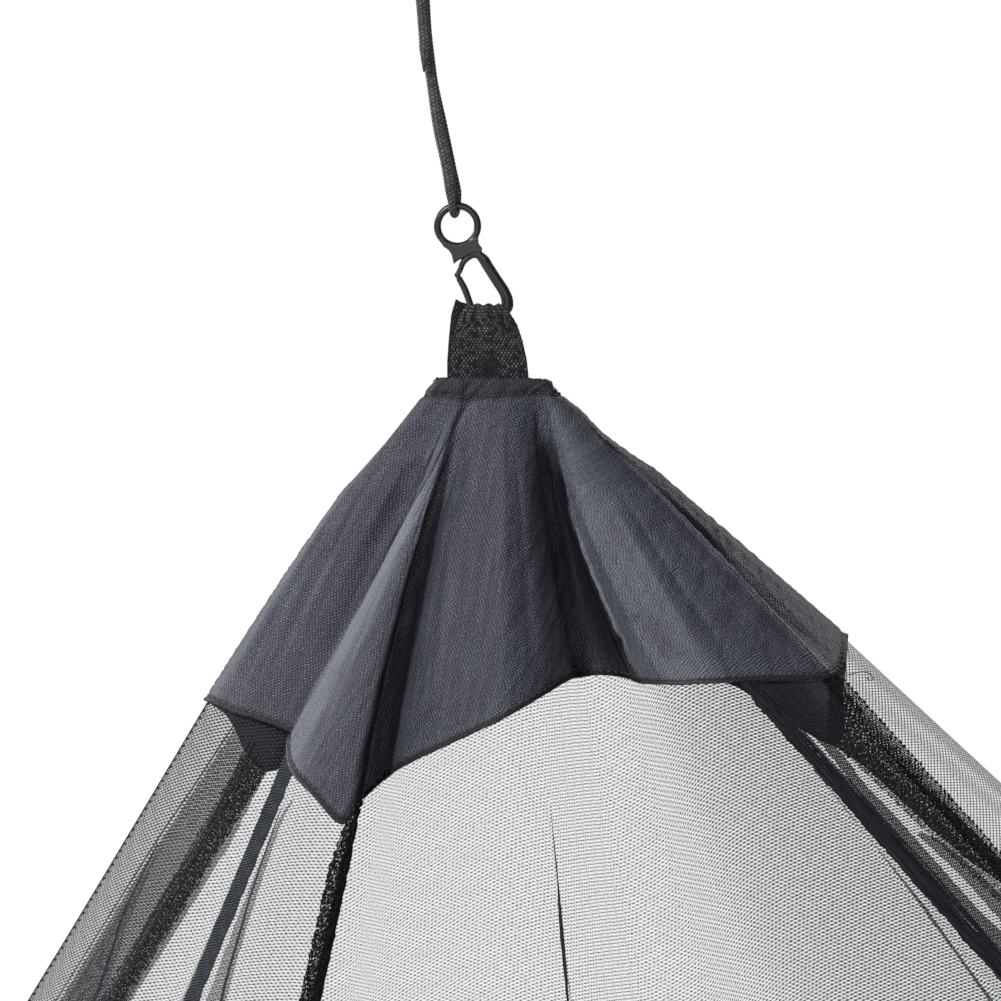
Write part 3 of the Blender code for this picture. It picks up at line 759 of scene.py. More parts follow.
canopy = {
    "apex": np.array((19.9, 0.0, -151.4)),  # middle of the cap's top edge
    "floorDrop": 1150.0,
    "gatheredPart": 0.35,
    "gatherPasses": 4,
    "netReach": 0.42,  # how far down the net keeps the lean that it leaves the hem with
    "capStep": 1.15,  # between the cap's columns at its hem
    "capRows": 128,
    "netStep": 2.2,
    "netRows": 170,
    "netRowPower": 1.35,  # above one, the net's rows lie closer together near the cap
    "netSquareRow": 60,  # the row that sets which way the net's weave hangs
    "netInset": 1.3,
    "netSlack": 0.6,
    "tuck": 0.94,  # how far down the cap the net's top edge is sewn in
}

# top and hem from the apex, drop, bow, the net's lean below the hem, and where it meets the floor
foldNames = (
    "leftFold", "leftNear", "leftFace", "leftTuck", "pleatFold", "pleatSide", "pleatFace", "pleatFront",
    "pleatEdge", "crease", "frontA", "frontB", "frontC", "frontD", "frontE", "frontF", "valley",
    "underRidge", "ridge", "rightA", "rightB", "doorEdge", "cornerFrontRight", "rightFold", "rightBack",
    "cornerBackRight", "backA", "backB", "backC", "cornerBackLeft", "leftBack",
)
folds = np.array((
    (-17.3, 0.0, -86.6, 6.0, 98.8, -3.0, 0.0, -0.59, 0.05, -780, 20),
    (-16.9, -2.2, -77.4, -6.0, 102.8, -3.0, 0.0, -0.63, -0.05, -720, -160),
    (-14.6, -3.7, -66.1, -13.0, 106.3, -2.0, 0.0, -0.55, -0.12, -640, -320),
    (-8.4, -3.6, -59.0, -17.0, 109.5, 2.0, 1.0, -0.45, -0.2, -560, -460),
    (-7.6, -3.6, -61.5, -33.0, 111.1, 3.0, -1.0, -0.41, -0.35, -500, -540),
    (-6.9, -3.6, -60.9, -42.0, 118.7, 2.0, -2.0, -0.38, -0.4, -460, -575),
    (-6.2, -3.6, -53.2, -55.0, 127.9, 0.0, -2.0, -0.3, -0.45, -435, -590),
    (-5.5, -3.6, -44.0, -61.0, 136.2, -2.0, -2.0, -0.22, -0.47, -415, -600),
    (-4.8, -3.6, -39.2, -56.0, 131.6, -3.0, -1.0, -0.2, -0.46, -400, -600),
    (-4.1, -3.6, -38.4, -35.0, 129.0, -3.0, 1.0, -0.18, -0.4, -355, -600),
    (-2.9, -3.6, -33.0, -35.0, 124.0, -3.0, 1.0, -0.16, -0.41, -300, -600),
    (-1.0, -3.6, -27.0, -45.0, 119.4, -2.0, -1.0, -0.13, -0.46, -200, -600),
    (2.5, -3.6, -12.0, -52.0, 112.0, 0.0, -2.0, -0.06, -0.5, 0, -600),
    (6.5, -3.6, 4.0, -54.0, 104.5, 0.0, -2.0, 0.00, -0.52, 200, -600),
    (10.5, -3.6, 16.5, -46.0, 97.5, -1.0, -1.0, 0.05, -0.5, 380, -600),
    (13.8, -3.6, 24.5, -32.0, 92.8, -3.0, 0.0, 0.1, -0.45, 480, -600),
    (16.0, -3.1, 31.8, -14.0, 90.9, -3.0, 3.0, 0.15, -0.4, 560, -600),
    (16.9, -2.8, 39.0, -17.0, 91.5, -5.0, 1.0, 0.22, -0.42, 620, -600),
    (17.6, -2.4, 47.0, -37.0, 93.6, -5.0, -1.0, 0.3, -0.47, 690, -600),
    (18.1, -1.9, 54.0, -47.0, 93.9, -4.0, -2.0, 0.4, -0.5, 760, -600),
    (18.5, -1.3, 67.0, -51.0, 93.4, -2.0, -2.0, 0.62, -0.5, 860, -600),
    (18.8, -0.7, 79.0, -48.0, 92.7, 0.0, -2.0, 0.9, -0.48, 960, -600),
    (18.9, 0.0, 106.8, -30.0, 90.3, 0.0, 0.0, 0.9, -0.45, 1090, -600),
    (18.8, 0.9, 109.9, -6.0, 78.9, 0.0, 0.0, 1.08, -0.1, 1230, -120),
    (17.9, 2.2, 109.0, 22.0, 95.8, 0.0, 1.0, 1.05, 0.2, 1220, 250),
    (15.5, 3.6, 106.8, 50.0, 112.6, 0.0, 2.0, 1.04, 0.45, 1180, 590),
    (9.0, 3.6, 72.0, 46.0, 93.0, 0.0, 1.0, 0.7, 0.5, 720, 585),
    (1.0, 3.6, 22.0, 36.0, 86.0, 0.0, 0.0, 0.2, 0.5, 220, 600),
    (-7.0, 3.6, -28.0, 44.0, 95.0, 0.0, 1.0, -0.3, 0.5, -320, 592),
    (-14.4, 3.7, -69.2, 50.0, 120.6, 0.0, 2.0, -0.6, 0.45, -800, 590),
    (-16.9, 2.2, -80.0, 28.0, 104.0, -2.0, 0.0, -0.6, 0.25, -810, 320),
))
foldCount = len(folds)
# each panel runs from its seam to the next, and its weave is squared on a fold near its middle
panels = {
    "Left": ("cornerBackLeft", "pleatEdge", "leftFace"),
    "Front": ("pleatEdge", "cornerFrontRight", "frontC"),
    "Right": ("cornerFrontRight", "cornerBackRight", "rightFold"),
    "Back": ("cornerBackRight", "cornerBackLeft", "backB"),
}


def foldAt(name):
    return foldNames.index(name)


def capFolds(down):  # the folds at one level, evened out towards the heading, where they are gathered
    topX, topY, hemX, hemY, drop, bowX, bowY = folds[:, :7].T
    bulge = sin(pi * down**0.8)
    points = canopy["apex"] + np.column_stack((
        topX + (hemX - topX) * down + bowX * bulge,
        topY + (hemY - topY) * down**1.15 + bowY * bulge,
        -drop * down,
    ))
    share = 0.5 * max(0.0, 1.0 - down / canopy["gatheredPart"])
    for _ in range(canopy["gatherPasses"]):
        points = points + ((np.roll(points, 1, axis=0) + np.roll(points, -1, axis=0)) / 2 - points) * share
    return points


def netFolds(down):
    hemX, hemY, drop = folds[:, 2], folds[:, 3], folds[:, 4]
    fall = canopy["floorDrop"] - drop
    hem = np.column_stack((hemX, hemY, -drop))
    lean = np.column_stack((folds[:, 7], folds[:, 8], np.full(foldCount, -1.0)))
    bend = hem + lean * (fall * canopy["netReach"])[:, None]
    floor = np.column_stack((folds[:, 9], folds[:, 10], np.full(foldCount, -canopy["floorDrop"])))
    rest = 1.0 - down
    return canopy["apex"] + hem * rest * rest + bend * 2 * rest * down + floor * down * down


def ringLine(points, positions):  # positions count folds round the ring
    after, before = np.roll(points, -1, axis=0), np.roll(points, 1, axis=0)
    back, ahead = lengths(points - before), lengths(after - points)
    tangents = ((points - before) / back * ahead + (after - points) / ahead * back) / (back + ahead)
    start = np.floor(positions).astype(int) % foldCount
    end = (start + 1) % foldCount
    part = (positions - np.floor(positions))[:, None]
    span = ahead[start]
    return hermite(points[start], points[end], tangents[start] * span, tangents[end] * span, part)


def ringPositions(step, extra=()):
    hem = capFolds(1.0)
    spans = lengths(np.roll(hem, -1, axis=0) - hem)[:, 0]
    spots = []
    for i, span in enumerate(spans):
        count = max(4, ceil(span / step))
        spots += [i + k / count for k in range(count)]
    return np.unique(np.round([*spots, *extra], 4))


def ringArc(row, positions, at):  # how far round the row each position lies, and where the given ones lie
    arc = runLengths(np.vstack((row, row[:1])))
    return arc[:-1], np.interp(at, [*positions, foldCount], arc)


def outward(rows):
    down = np.gradient(rows, axis=0)
    along = np.roll(rows, -1, axis=1) - np.roll(rows, 1, axis=1)
    normals = np.cross(down, along)
    return normals / lengths(normals)


def panelColumns(positions, panel):
    start, stop = (int(np.argmin(abs(positions - foldAt(name)))) for name in panels[panel][:2])
    return np.arange(start, stop + 1 + (len(positions) if stop < start else 0)) % len(positions)


def panelGrid(rows, positions, panel, squareRow):
    # the panel's points, with their places on the flat cloth in millimetres
    chosen = panelColumns(positions, panel)
    middle = int(np.argmin(abs(positions[chosen] - foldAt(panels[panel][2]))))
    grid = rows[:, chosen]
    axis = grid[squareRow, middle] - grid[0, middle]
    axis /= np.sqrt(axis @ axis)
    v = (grid - grid[0, middle]) @ axis
    steps = lengths(np.diff(grid, axis=1))[:, :, 0]
    across = np.sqrt(np.clip(steps**2 - np.diff(v, axis=1) ** 2, 0.0, None))
    u = np.concatenate((np.zeros((len(grid), 1)), np.cumsum(across, axis=1)), axis=1)
    u -= u[:, middle : middle + 1]
    return grid, np.stack((u, v), axis=2)


# cap: dense nylon twill, gathered into its heading and turned under at its hem

# where its right hand ridge runs: down the cap, and fold position
ridgeLine = ((0.1, 18.1), (0.3, 18.3), (0.59, 17.95), (0.7, 18.0), (0.86, 18.05), (1.0, 18.1))
cap = {
    "thick": 0.55,
    "fall": 105.0,  # from its top edge to its hem
    "headingFall": 4.9,  # from the top edge to the row of heading stitches
    "hemFall": 1.6,
    "rollRadius": 1.15,  # of the top edge, rolled inwards
    "rollTurn": radians(150),
    "rollRows": 7,
    "rollFall": 1.5,  # how far above the top edge the roll counts as being
    "cornerDrop": 1.3,
    "crestDrop": 1.2,
    "crestSpread": 0.07,
    "crestFall": 3.5,
    "cornerLimit": (1.2, 6),  # how far out the drop at its corners grows, and how sharply
    "halfTop": 18.5,  # of the gathered top, left to right
    "edgeColumns": (0.02, 7),  # beside a pressed edge: how far apart, and how many on each side
    # small relief: height, how often across and down, and seed
    "puckers": ((1.6, 0.42, 9.0, 4.0),),
    "ripples": ((0.3, 0.16, 2.2, 3.0), (0.16, 0.45, 7.0, 8.0)),
    "topRuffle": ((0.55, 1.7, 1.0, 9.0),),
    "pucker": 0.55,
    "headingPart": 0.17,  # how far down the cap the heading's puckers reach
    "rippleStart": 0.1,
    # over how much of its fall a fold or a shade fades in at its start and out at its end
    "foldFade": (0.25, 0.2),
    "shadeFade": (0.2, 0.2),
    "headingDent": (0.55, 0.8),  # depth and half height of the row that the stitches pull in
    "hemDent": (0.35, 0.5),
    "hemBeads": (0.14, 0.6, 2.6),  # height, fade and spacing of the beads below the hem's stitches
    # its two sets of ridges: their run across and down the cloth, spacing, contrast and least
    "ridges": ((0.669, 0.743, 0.78, 0.75, 0.25), (0.906, -0.423, 0.95, 0.65, 0.35)),
    "dark": (0.0045, 0.005, 0.0075),
    "light": (0.136, 0.144, 0.19),
    "bump": 0.14,
    # soft folds: fold position at the top and at the hem, start and end of the fold down the cap,
    # half width and height at the hem; troughs are below zero
    "creases": (
        (5.25, 5.5, 0.4, 1.00, 2.4, -0.5), (6.6, 6.7, 0.15, 1.05, 2.4, -0.5),
        (10.4, 10.6, 0.1, 0.8, 2.6, -0.4), (11.3, 11.6, 0.05, 0.95, 4.0, 0.5),
        (12.1, 12.5, 0.1, 0.75, 3.0, -0.4), (12.8, 13.2, 0.05, 0.9, 4.0, 0.4),
        (13.5, 13.9, 0.15, 1.00, 2.8, -0.4), (15.9, 15.7, 0.1, 1.1, 5.0, -5.0),
        (18.6, 18.9, 0.3, 1.05, 2.0, 0.5), (19.3, 19.5, 0.45, 1.1, 2.2, -0.7),
        (20.2, 20.3, 0.35, 1.00, 2.6, 0.6), (20.7, 20.9, 0.3, 0.95, 2.0, -0.5),
        (21.3, 21.5, 0.3, 1.00, 2.2, 0.5), (22.6, 22.6, 0.35, 0.95, 2.6, 0.2),
        (1.3, 1.4, 0.25, 0.95, 3.0, -0.6), (2.2, 2.4, 0.15, 0.85, 2.6, 0.5),
        (0.5, 0.5, 0.35, 1.00, 3.0, 0.5), (3.2, 3.3, 0.1, 0.8, 2.0, -0.5),
        (24.4, 24.5, 0.2, 1.00, 3.5, -0.7), (26.5, 26.4, 0.1, 0.9, 4.0, 0.8),
        (27.6, 27.5, 0.2, 1.05, 4.0, -0.9), (28.6, 28.5, 0.2, 0.9, 4.0, 0.7),
    ),
    # pressed edges, in the same way
    "edges": (
        (4.00, 4.00, 0.06, 1.02, 0.8, 0.9), (17.97, 17.97, 0.12, 1.05, 0.8, 1.0),
        (17.4, 17.5, 0.2, 1.05, 1.6, -2.4), (21.8, 21.88, 0.1, 1.1, 1.3, 0.9),
        (22.06, 22.12, 0.12, 0.96, 1.6, -1.6), (8.5, 8.5, 0.05, 1.05, 1.4, -2.0),
    ),
    # dimples where the cloth buckles: fold position, down, half width across and down, depth
    "dimples": (
        (17.9, 0.86, 4.0, 2.2, -0.9), (18.3, 0.93, 5.0, 1.8, 0.6), (19.0, 0.8, 5.0, 2.0, -0.8),
        (13.0, 0.55, 6.0, 3.0, -0.4), (22.3, 0.2, 4.5, 3.0, -0.6), (22.3, 0.115, 4.5, 2.6, 0.5),
        (11.8, 0.9, 5.0, 2.0, 0.5), (5.8, 0.93, 4.0, 2.0, 0.5), (19.6, 0.885, 5.0, 2.2, -0.8),
        (2.4, 0.17, 5.0, 3.2, -1.1), (2.6, 0.23, 5.0, 2.6, 0.8), (1.6, 0.2, 5.0, 2.6, -0.7),
    ),
    # painted shade down in the cloth's folds and creases, and painted highlights below zero: how much,
    # half widths to the left and right, start and end down the cap, and the fold positions it runs
    # through at each level
    "paintedShading": (
        (0.94, 6.0, 1.4, 0.1, 1.2, (
            (0.1, 9.4), (0.22, 9.0), (0.31, 7.9), (0.43, 7.6), (0.66, 7.6), (0.86, 7.75), (1.0, 8.1),
        )),
        (0.55, 4.0, 0.3, 0.02, 0.9, (
            (0.06, 9.7), (0.17, 6.5), (0.3, 4.95), (0.47, 4.05), (0.84, 3.95), (1.0, 4.0),
        )),
        (-2.00, 0.8, 15.0, 0.02, 1.12, (
            (0.06, 9.9), (0.17, 6.7), (0.3, 5.1), (0.47, 4.2), (0.84, 4.1), (1.0, 4.2),
        )),
        (-0.8, 0.5, 44.0, 0.05, 1.2, ridgeLine),
        (-0.8, 0.5, 0.9, 0.12, 1.2, ridgeLine),
        (-0.9, 2.0, 4.5, 0.1, 1.3, ((0.0, 0.1), (1.0, 0.1))),
        (0.97, 27.0, 1.2, 0.16, 1.3, (
            (0.1, 17.9), (0.3, 18.1), (0.59, 17.75), (0.7, 17.82), (0.86, 17.86), (1.0, 17.9),
        )),
        (0.96, 0.7, 4.2, 0.08, 0.98, (
            (0.04, 21.6), (0.2, 21.7), (0.39, 22.0), (0.53, 22.1), (0.68, 21.96), (1.0, 21.98),
        )),
        (0.58, 22.0, 40.0, -0.3, 1.3, ((0.0, 23.3), (1.0, 23.3))),
        (0.8, 16.0, 16.0, 0.7, 1.3, ((0.0, 25.0), (1.0, 25.0))),
        (0.8, 16.0, 16.0, 0.7, 1.3, ((0.0, 29.0), (1.0, 29.0))),
        (0.35, 3.0, 3.0, 0.3, 1.3, ((0.0, 20.6), (1.0, 20.8))),
        (0.6, 5.0, 6.0, 0.66, 1.00, ((0.66, 19.1), (1.0, 19.7))),
    ),
}


def rippleAt(spots, down, ripples):  # a sum of soft noises along one level
    return np.array([
        sum(high * noise.noise((spot * wide, down * tall, seed)) for high, wide, tall, seed in ripples)
        for spot in spots
    ])


def shownAt(down, start, end, fade):
    return smoothStep((down - start) / fade[0]) * smoothStep((end - down) / fade[1])


def addFolds(push, row, positions, down, narrow):
    arc, _ = ringArc(row, positions, 0)
    for top, hem, start, end, width, height in (*cap["creases"], *cap["edges"]):
        _, middle = ringArc(row, positions, top + (hem - top) * down)
        shown = shownAt(down, start, end, cap["foldFade"])
        push += height * shown * np.exp(-(((arc - middle) / (width * narrow)) ** 2))
    for spot, level, across, tall, height in cap["dimples"]:
        _, middle = ringArc(row, positions, spot)
        fade = np.exp(-(((down - level) * cap["fall"] / tall) ** 2))
        push += height * fade * np.exp(-(((arc - middle) / across) ** 2))


def addStitchRelief(push, arc, down):  # what the rows of stitches do to the cloth at one level
    fall, rise = down * cap["fall"], (1 - down) * cap["fall"]
    heading = (1 - smoothStep(down / cap["headingPart"])) * smoothStep(down / 0.02)
    puckers = rippleAt(arc, down, cap["puckers"])
    push += cap["pucker"] * heading * puckers
    deep, half = cap["headingDent"]
    push -= deep * np.exp(-(((fall - cap["headingFall"]) / half) ** 2)) * (1 + 0.5 * puckers)
    deep, half = cap["hemDent"]
    push -= deep * np.exp(-(((rise - cap["hemFall"]) / half) ** 2))
    high, fade, spacing = cap["hemBeads"]
    push += high * smoothStep((cap["hemFall"] - rise) / fade) * (1 + np.sin(2 * pi * arc / spacing))
    push += rippleAt(arc, down, cap["ripples"]) * smoothStep(down / cap["rippleStart"])


def paintedShadingAt(row, positions, down, narrow):  # painted highlights come last, and lift the painted shade
    arc, _ = ringArc(row, positions, 0)
    dark = np.zeros(len(arc))
    for strength, before, after, start, end, line in sorted(cap["paintedShading"], reverse=True):
        _, middle = ringArc(row, positions, np.interp(down, *zip(*line)))
        away = (arc - middle) / np.where(arc < middle, before, after) / narrow
        shown = shownAt(down, start, end, cap["shadeFade"])
        fade = strength * shown * np.exp(-(away**4))
        dark = np.maximum(dark, fade) if strength > 0 else dark + fade
    return dark


def topRoll(row, normal, positions):  # the top edge, rolled inwards, and how far down its rows count
    turns = np.linspace(cap["rollTurn"], 0.0, cap["rollRows"])[:-1, None, None]
    flat = normal * (1, 1, 0)
    flat /= lengths(flat)
    roll = row - flat * (1 - np.cos(turns)) * cap["rollRadius"]
    roll = roll + np.array((0, 0, cap["rollRadius"])) * np.sin(turns)
    roll[..., 2] += np.sin(turns[..., 0]) * rippleAt(positions, 0.5, cap["topRuffle"])
    return roll, -cap["rollFall"] * np.sin(turns[:, 0, 0] / 2)


def capSurface():
    gap, count = cap["edgeColumns"]
    sharp = [p + gap * k for _, p, *_ in cap["edges"] for k in range(-count, count + 1)]
    positions = ringPositions(canopy["capStep"], sharp)
    downs = np.linspace(0.0, 1.0, canopy["capRows"])
    rows = np.array([ringLine(capFolds(down), positions) for down in downs])
    normals = outward(rows)
    push, dark = np.zeros(rows.shape[:2]), np.zeros(rows.shape[:2])
    hemSpan = ringArc(rows[-1], positions, 0)[0][-1]
    for i, down in enumerate(downs):
        arc, _ = ringArc(rows[i], positions, 0)
        narrow = arc[-1] / hemSpan  # folds narrow as the cloth is gathered
        addFolds(push[i], rows[i], positions, down, narrow)
        addStitchRelief(push[i], arc, down)
        # painted shade and painted highlights at this level
        dark[i] = paintedShadingAt(rows[i], positions, down, narrow)
    rows = rows + normals * push[:, :, None]
    side = abs(rows[..., 0] - canopy["apex"][0]) / cap["halfTop"]
    near = np.exp(-downs * cap["fall"] / cap["crestFall"])[:, None]
    limit, power = cap["cornerLimit"]
    rows[..., 2] -= (cap["crestDrop"] + cap["cornerDrop"] * np.minimum(side, limit) ** power) * near
    rows[..., 0] += (rows[..., 0] - canopy["apex"][0]) * cap["crestSpread"] * near
    roll, above = topRoll(rows[0], normals[0], positions)
    falls = np.concatenate((above, downs * cap["fall"]))
    dark = np.concatenate((np.zeros(roll.shape[:2]), dark))
    return np.concatenate((roll, rows)), positions, falls, dark


def capLook():
    made, tree, shader = newMaterial("capTwill")
    place, across, down = clothPlace(tree)
    _, fall, shaded = clothPlace(tree, "extra")
    rise = maths("SUBTRACT", cap["fall"], fall)
    wobble = maths("MULTIPLY", noiseAt(place, 0.25, 3.0), 1.6)
    ridges = []
    for along, aside, spacing, contrast, least in cap["ridges"]:
        slant = maths("MULTIPLY_ADD", across, along, maths("MULTIPLY", down, aside))
        ridge = wave(maths("ADD", slant, wobble), spacing)
        ridges.append(maths("MULTIPLY_ADD", ridge, contrast, least))
    weave = product(*ridges)
    specks = noiseAt(place, 1.5, 2.0, 0.75)
    streaks = noiseAt(stretched(place, 0.42, 0.022), 1.0, 4.0, 0.65)
    mottled = noiseAt(place, 0.05, 4.0, 0.6)
    # painted shade over the gathered heading, deepest in the groove that its stitches pull in and less deep
    # at its top rim, and along the hem's edge
    band = maths("ADD", ramp(fall, 5.2, 6.6, 0.0, 0.88), ramp(fall, 4.3, 3.0, 0.12, 0.36))
    headingAndHemShade = maths("MINIMUM", band, ramp(rise, 1.6, 2.5, 0.2, 1.0))
    # the painted shade darkens the colour and lowers the specular level; painted highlights, below zero,
    # lighten both
    lit = maths("SUBTRACT", 1.0, shaded)
    shine = product(
        ramp(weave, 0.1, 0.85), ramp(specks, 0.36, 0.66, 0.3, 1.5),
        ramp(streaks, 0.38, 0.64, 0.7, 1.3), ramp(mottled, 0.35, 0.7, 0.8, 1.15),
        product(headingAndHemShade, lit),
    )
    setInputs(shader, {
        "Base Color": mixColour(shine, cap["dark"], cap["light"]),
        "Roughness": ramp(weave, 0.0, 1.0, 0.62, 0.42),
        "Sheen Weight": 0.04,
        "Sheen Roughness": 0.4,
        "Specular IOR Level": ramp(lit, 0.0, 2.0, 0.02, 0.56),
    })
    addBump(shader, weave, cap["bump"])
    return made


def buildCap():
    look = capLook()
    rows, positions, falls, dark = capSurface()
    for panel in panels:
        grid, coords = panelGrid(rows, positions, panel, len(rows) - 1)
        extra = stacked(falls[:, None], dark[:, panelColumns(positions, panel)])
        made = sheetPiece("cap" + panel, grid, coords, look, extra)
        thicken(made, cap["thick"], -1.0)
        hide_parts("cap_" + panel.lower())
    print("stage: cap")
    return rows, falls


capRows, capFalls = buildCap()


# stitches: lock stitches along the heading and the hem, and one thread left hanging at a corner

stitches = {
    "thick": 0.5,
    "proud": 0.18,
    # how far down the cap, stitch length and gap
    "runs": ((cap["headingFall"], 1.9, 0.9), (cap["fall"] - cap["hemFall"], 2.0, 0.8)),
    "dark": (0.01, 0.01, 0.014),
    "light": (0.085, 0.087, 0.1),
    "bump": 0.04,
    "strayRadius": 0.17,
    "stray": (
        (127.2, -29.5, -243.2), (129.0, -30.6, -242.6), (131.8, -31.0, -241.9), (134.3, -30.5, -241.4),
        (136.6, -29.8, -242.2), (137.4, -29.2, -243.6), (136.2, -29.4, -244.0), (135.4, -29.8, -243.2),
    ),
}


def addStitch(built, first, middle, last, out):
    way = (last - first).normalized()
    out = (out - way * out.dot(way)).normalized()
    turn = Matrix((way, out, way.cross(out))).transposed().to_4x4()
    half = stitches["thick"] / 2
    size = Matrix.Diagonal(((last - first).length / 2, half, half, 1.0))
    place = Matrix.Translation((middle + out * stitches["proud"]) * mm)
    ball = bmesh.ops.create_icosphere(built, subdivisions=1, radius=mm)["verts"]
    bmesh.ops.transform(built, matrix=place @ turn @ size, verts=ball)


def stitchLook():
    made, tree, shader = newMaterial("sewingThread")
    twist = noiseAt(objectPlace(tree), 2500.0, 2.0)
    colour = mixColour(twist, stitches["dark"], stitches["light"])
    setInputs(shader, {"Base Color": colour, "Roughness": 0.55})
    addBump(shader, twist, stitches["bump"])
    return made


def buildStitches():
    built = bmesh.new()
    for level, length, gap in stitches["runs"]:
        row = int(np.argmin(abs(capFalls - level)))
        line = capRows[row]
        ends = np.vstack((line, line[:1]))
        arc = runLengths(ends)
        down = capRows[row + 1] - capRows[row - 1]
        normals = np.cross(np.vstack((down, down[:1])), np.gradient(ends, axis=0))
        normals /= lengths(normals)
        for start in np.arange(0.0, arc[-1] - length, length + gap):
            first, middle, last = (
                Vector([np.interp(start + part * length, arc, ends[:, k]) for k in range(3)])
                for part in (0, 0.5, 1)
            )
            out = Vector([np.interp(start + length / 2, arc, normals[:, k]) for k in range(3)]).normalized()
            addStitch(built, first, middle, last, out)
    for face in built.faces:
        face.smooth = True
    addBar(built, stitches["stray"], [stitches["strayRadius"]] * len(stitches["stray"]))
    newPiece("capStitches", built, stitchLook())
    print("stage: stitches")


buildStitches()


# tapes over the seams and the edges of the opening

tape = {
    "thick": 0.7,
    "start": 0.05,
    "columns": 14,
    "rows": 520,
    "rowPower": 1.25,  # above one, its rows lie closer together near the cap
    "ragged": 0.9,
    "raggedFree": 0.3,  # how much of that a tape has where it stands free
    # how often its edges wander along it, how much, and the seeds of its left and right edges
    "rags": ((0.6, 1.0, 3.0, 7.0), (1.9, 0.5, 5.0, 1.0)),
    "ruffle": (0.45, 0.5, 0.35),  # height, and how often across and along
    "bump": 0.18,
    # darker and lighter colour of its threads, and how open its knit is from its left edge to its right
    "looks": {
        "seam": ((0.004, 0.004, 0.006), (0.026, 0.027, 0.034), (0.53, 0.74)),
        "coarse": ((0.004, 0.004, 0.006), (0.022, 0.023, 0.03), (0.47, 0.47)),
        "lattice": ((0.005, 0.005, 0.008), (0.03, 0.032, 0.04), (0.3, 0.09)),
        "ribbed": ((0.006, 0.008, 0.012), (0.085, 0.1, 0.125), (0.95, 0.95)),
        "edge": ((0.004, 0.004, 0.007), (0.034, 0.036, 0.045), (0.7, 0.54)),
        "glitter": ((0.004, 0.004, 0.006), (0.03, 0.032, 0.04), (0.505, 0.505)),
        "dense": ((0.004, 0.004, 0.006), (0.026, 0.027, 0.034), (0.59, 0.59)),
        "bound": ((0.004, 0.004, 0.006), (0.02, 0.02, 0.024), (0.9, 0.9)),
    },
    # piece, CAD node, fold, look, and its left and right edges from the fold
    "runs": (
        ("seamTapeBackLeft", "seam_tape_back_left", "cornerBackLeft", "coarse", -1.5, 12.5),
        ("seamTapeFrontLeft", "seam_tape_front_left", "pleatEdge", "seam", -9.8, 2.6),
        ("seamTapeFrontRight", "seam_tape_front_right", "cornerFrontRight", "lattice", -8.4, 0.6),
        ("seamTapeBackRight", "seam_tape_back_right", "cornerBackRight", "coarse", -14.0, -1.0),
        ("openingTapeLeft", "opening_tape_left", "pleatFold", "ribbed", 1.3, 6.0),
        ("openingTapeRight", "opening_tape_right", "doorEdge", "edge", -4.2, 3.4),
    ),
    # how wide its top is, as a part, and how far down that is made up
    "flare": {"seamTapeFrontLeft": (0.6, 15.0), "openingTapeRight": (0.7, 90.0)},
    "facing": {"openingTapeLeft": (0.96, -0.28, 0.0)},  # stands free of the net, in this direction
    "stand": (0.0, -2.0, 0.0),
}


def tapeLook(kind, left, right):
    dark, light, openness = tape["looks"][kind]
    made, tree, shader = newMaterial("tape" + kind.capitalize())
    place, across, down = clothPlace(tree)
    slant = maths("ADD", down, maths("MULTIPLY", across, 0.3))
    ribs = ramp(wave(slant, 1.0), 0.3, 0.8)
    grains = noiseAt(place, 1.25, 3.0, 0.7)
    if kind == "lattice":
        slants = [
            maths("MULTIPLY_ADD", across, 0.8, maths("MULTIPLY", down, k)) for k in (0.6, -0.6)
        ]
        grains = product(*(wave(slant, 1.15) for slant in slants))
    elif kind == "edge":
        streaks = noiseAt(stretched(place, 1.3, 0.045), 1.0, 3.0, 0.6)
        grains = maths("MULTIPLY_ADD", streaks, 0.7, maths("MULTIPLY", grains, 0.3))
    elif kind == "bound":
        ticks = ramp(wave(down, 2.5), 0.72, 0.8, 1.0, 0.0)
        grains = product(ramp(across, 0.38, 0.42), ticks)
    wide = right - left
    limit = ramp(across, left + 0.35 * wide, left + 0.75 * wide, *openness)
    shown = ribs if kind == "ribbed" else ramp(grains, 0.42, 0.62)
    setInputs(shader, {
        "Alpha": ramp(maths("SUBTRACT", grains, limit), 0.0, 0.03, 1.0, 0.0),
        "Base Color": mixColour(shown, dark, light),
        "Roughness": 0.7,
        "Specular IOR Level": 0.12,
    })
    addBump(shader, maths("ADD", ribs, grains), tape["bump"])
    return made


def tapeRows(name, middle, across):  # rows down the net, and how far down each one lies
    facing = tape["facing"].get(name)
    rows, line = [], []
    for down in (np.arange(tape["rows"]) / (tape["rows"] - 1)) ** tape["rowPower"]:
        points = netFolds(down)
        before, after = (lengths(points[middle] - points[(middle + s) % foldCount])[0] for s in (-1, 1))
        line.append(points[middle])
        if facing:
            rows.append(points[middle] + across[:, None] * np.array(facing) + np.array(tape["stand"]))
        else:
            rows.append(ringLine(points, middle + np.where(across < 0, across / before, across / after)))
    rows, line = np.array(rows), np.array(line)
    length = runLengths(line)
    part, reach = tape["flare"].get(name, (1.0, 1.0))
    flare = (part + (1 - part) * np.clip(length / reach, 0, 1))[:, None, None]
    rows = line[:, None] + (rows - line[:, None]) * flare
    return rows[length > tape["start"]], length[length > tape["start"]]


def addWear(rows, length, middle, across, ragged):  # ragged edges and a soft ruffle
    along = np.gradient(rows, axis=1)
    normals = np.cross(np.gradient(rows, axis=0), along)
    normals /= lengths(normals)
    along /= lengths(along)
    high, wide, tall = tape["ruffle"]
    for i, mark in enumerate(length):
        for j, place in enumerate(np.linspace(-1, 1, len(across))):
            rag = sum(
                much * noise.noise((mark * often, right if place > 0 else left, middle))
                for often, much, left, right in tape["rags"]
            )
            rows[i, j] += along[i, j] * rag * tape["ragged"] * abs(place) ** 3 * ragged
            ruffle = noise.noise((across[j] * wide, mark * tall, middle * 3.0)) * high
            rows[i, j] += normals[i, j] * ruffle


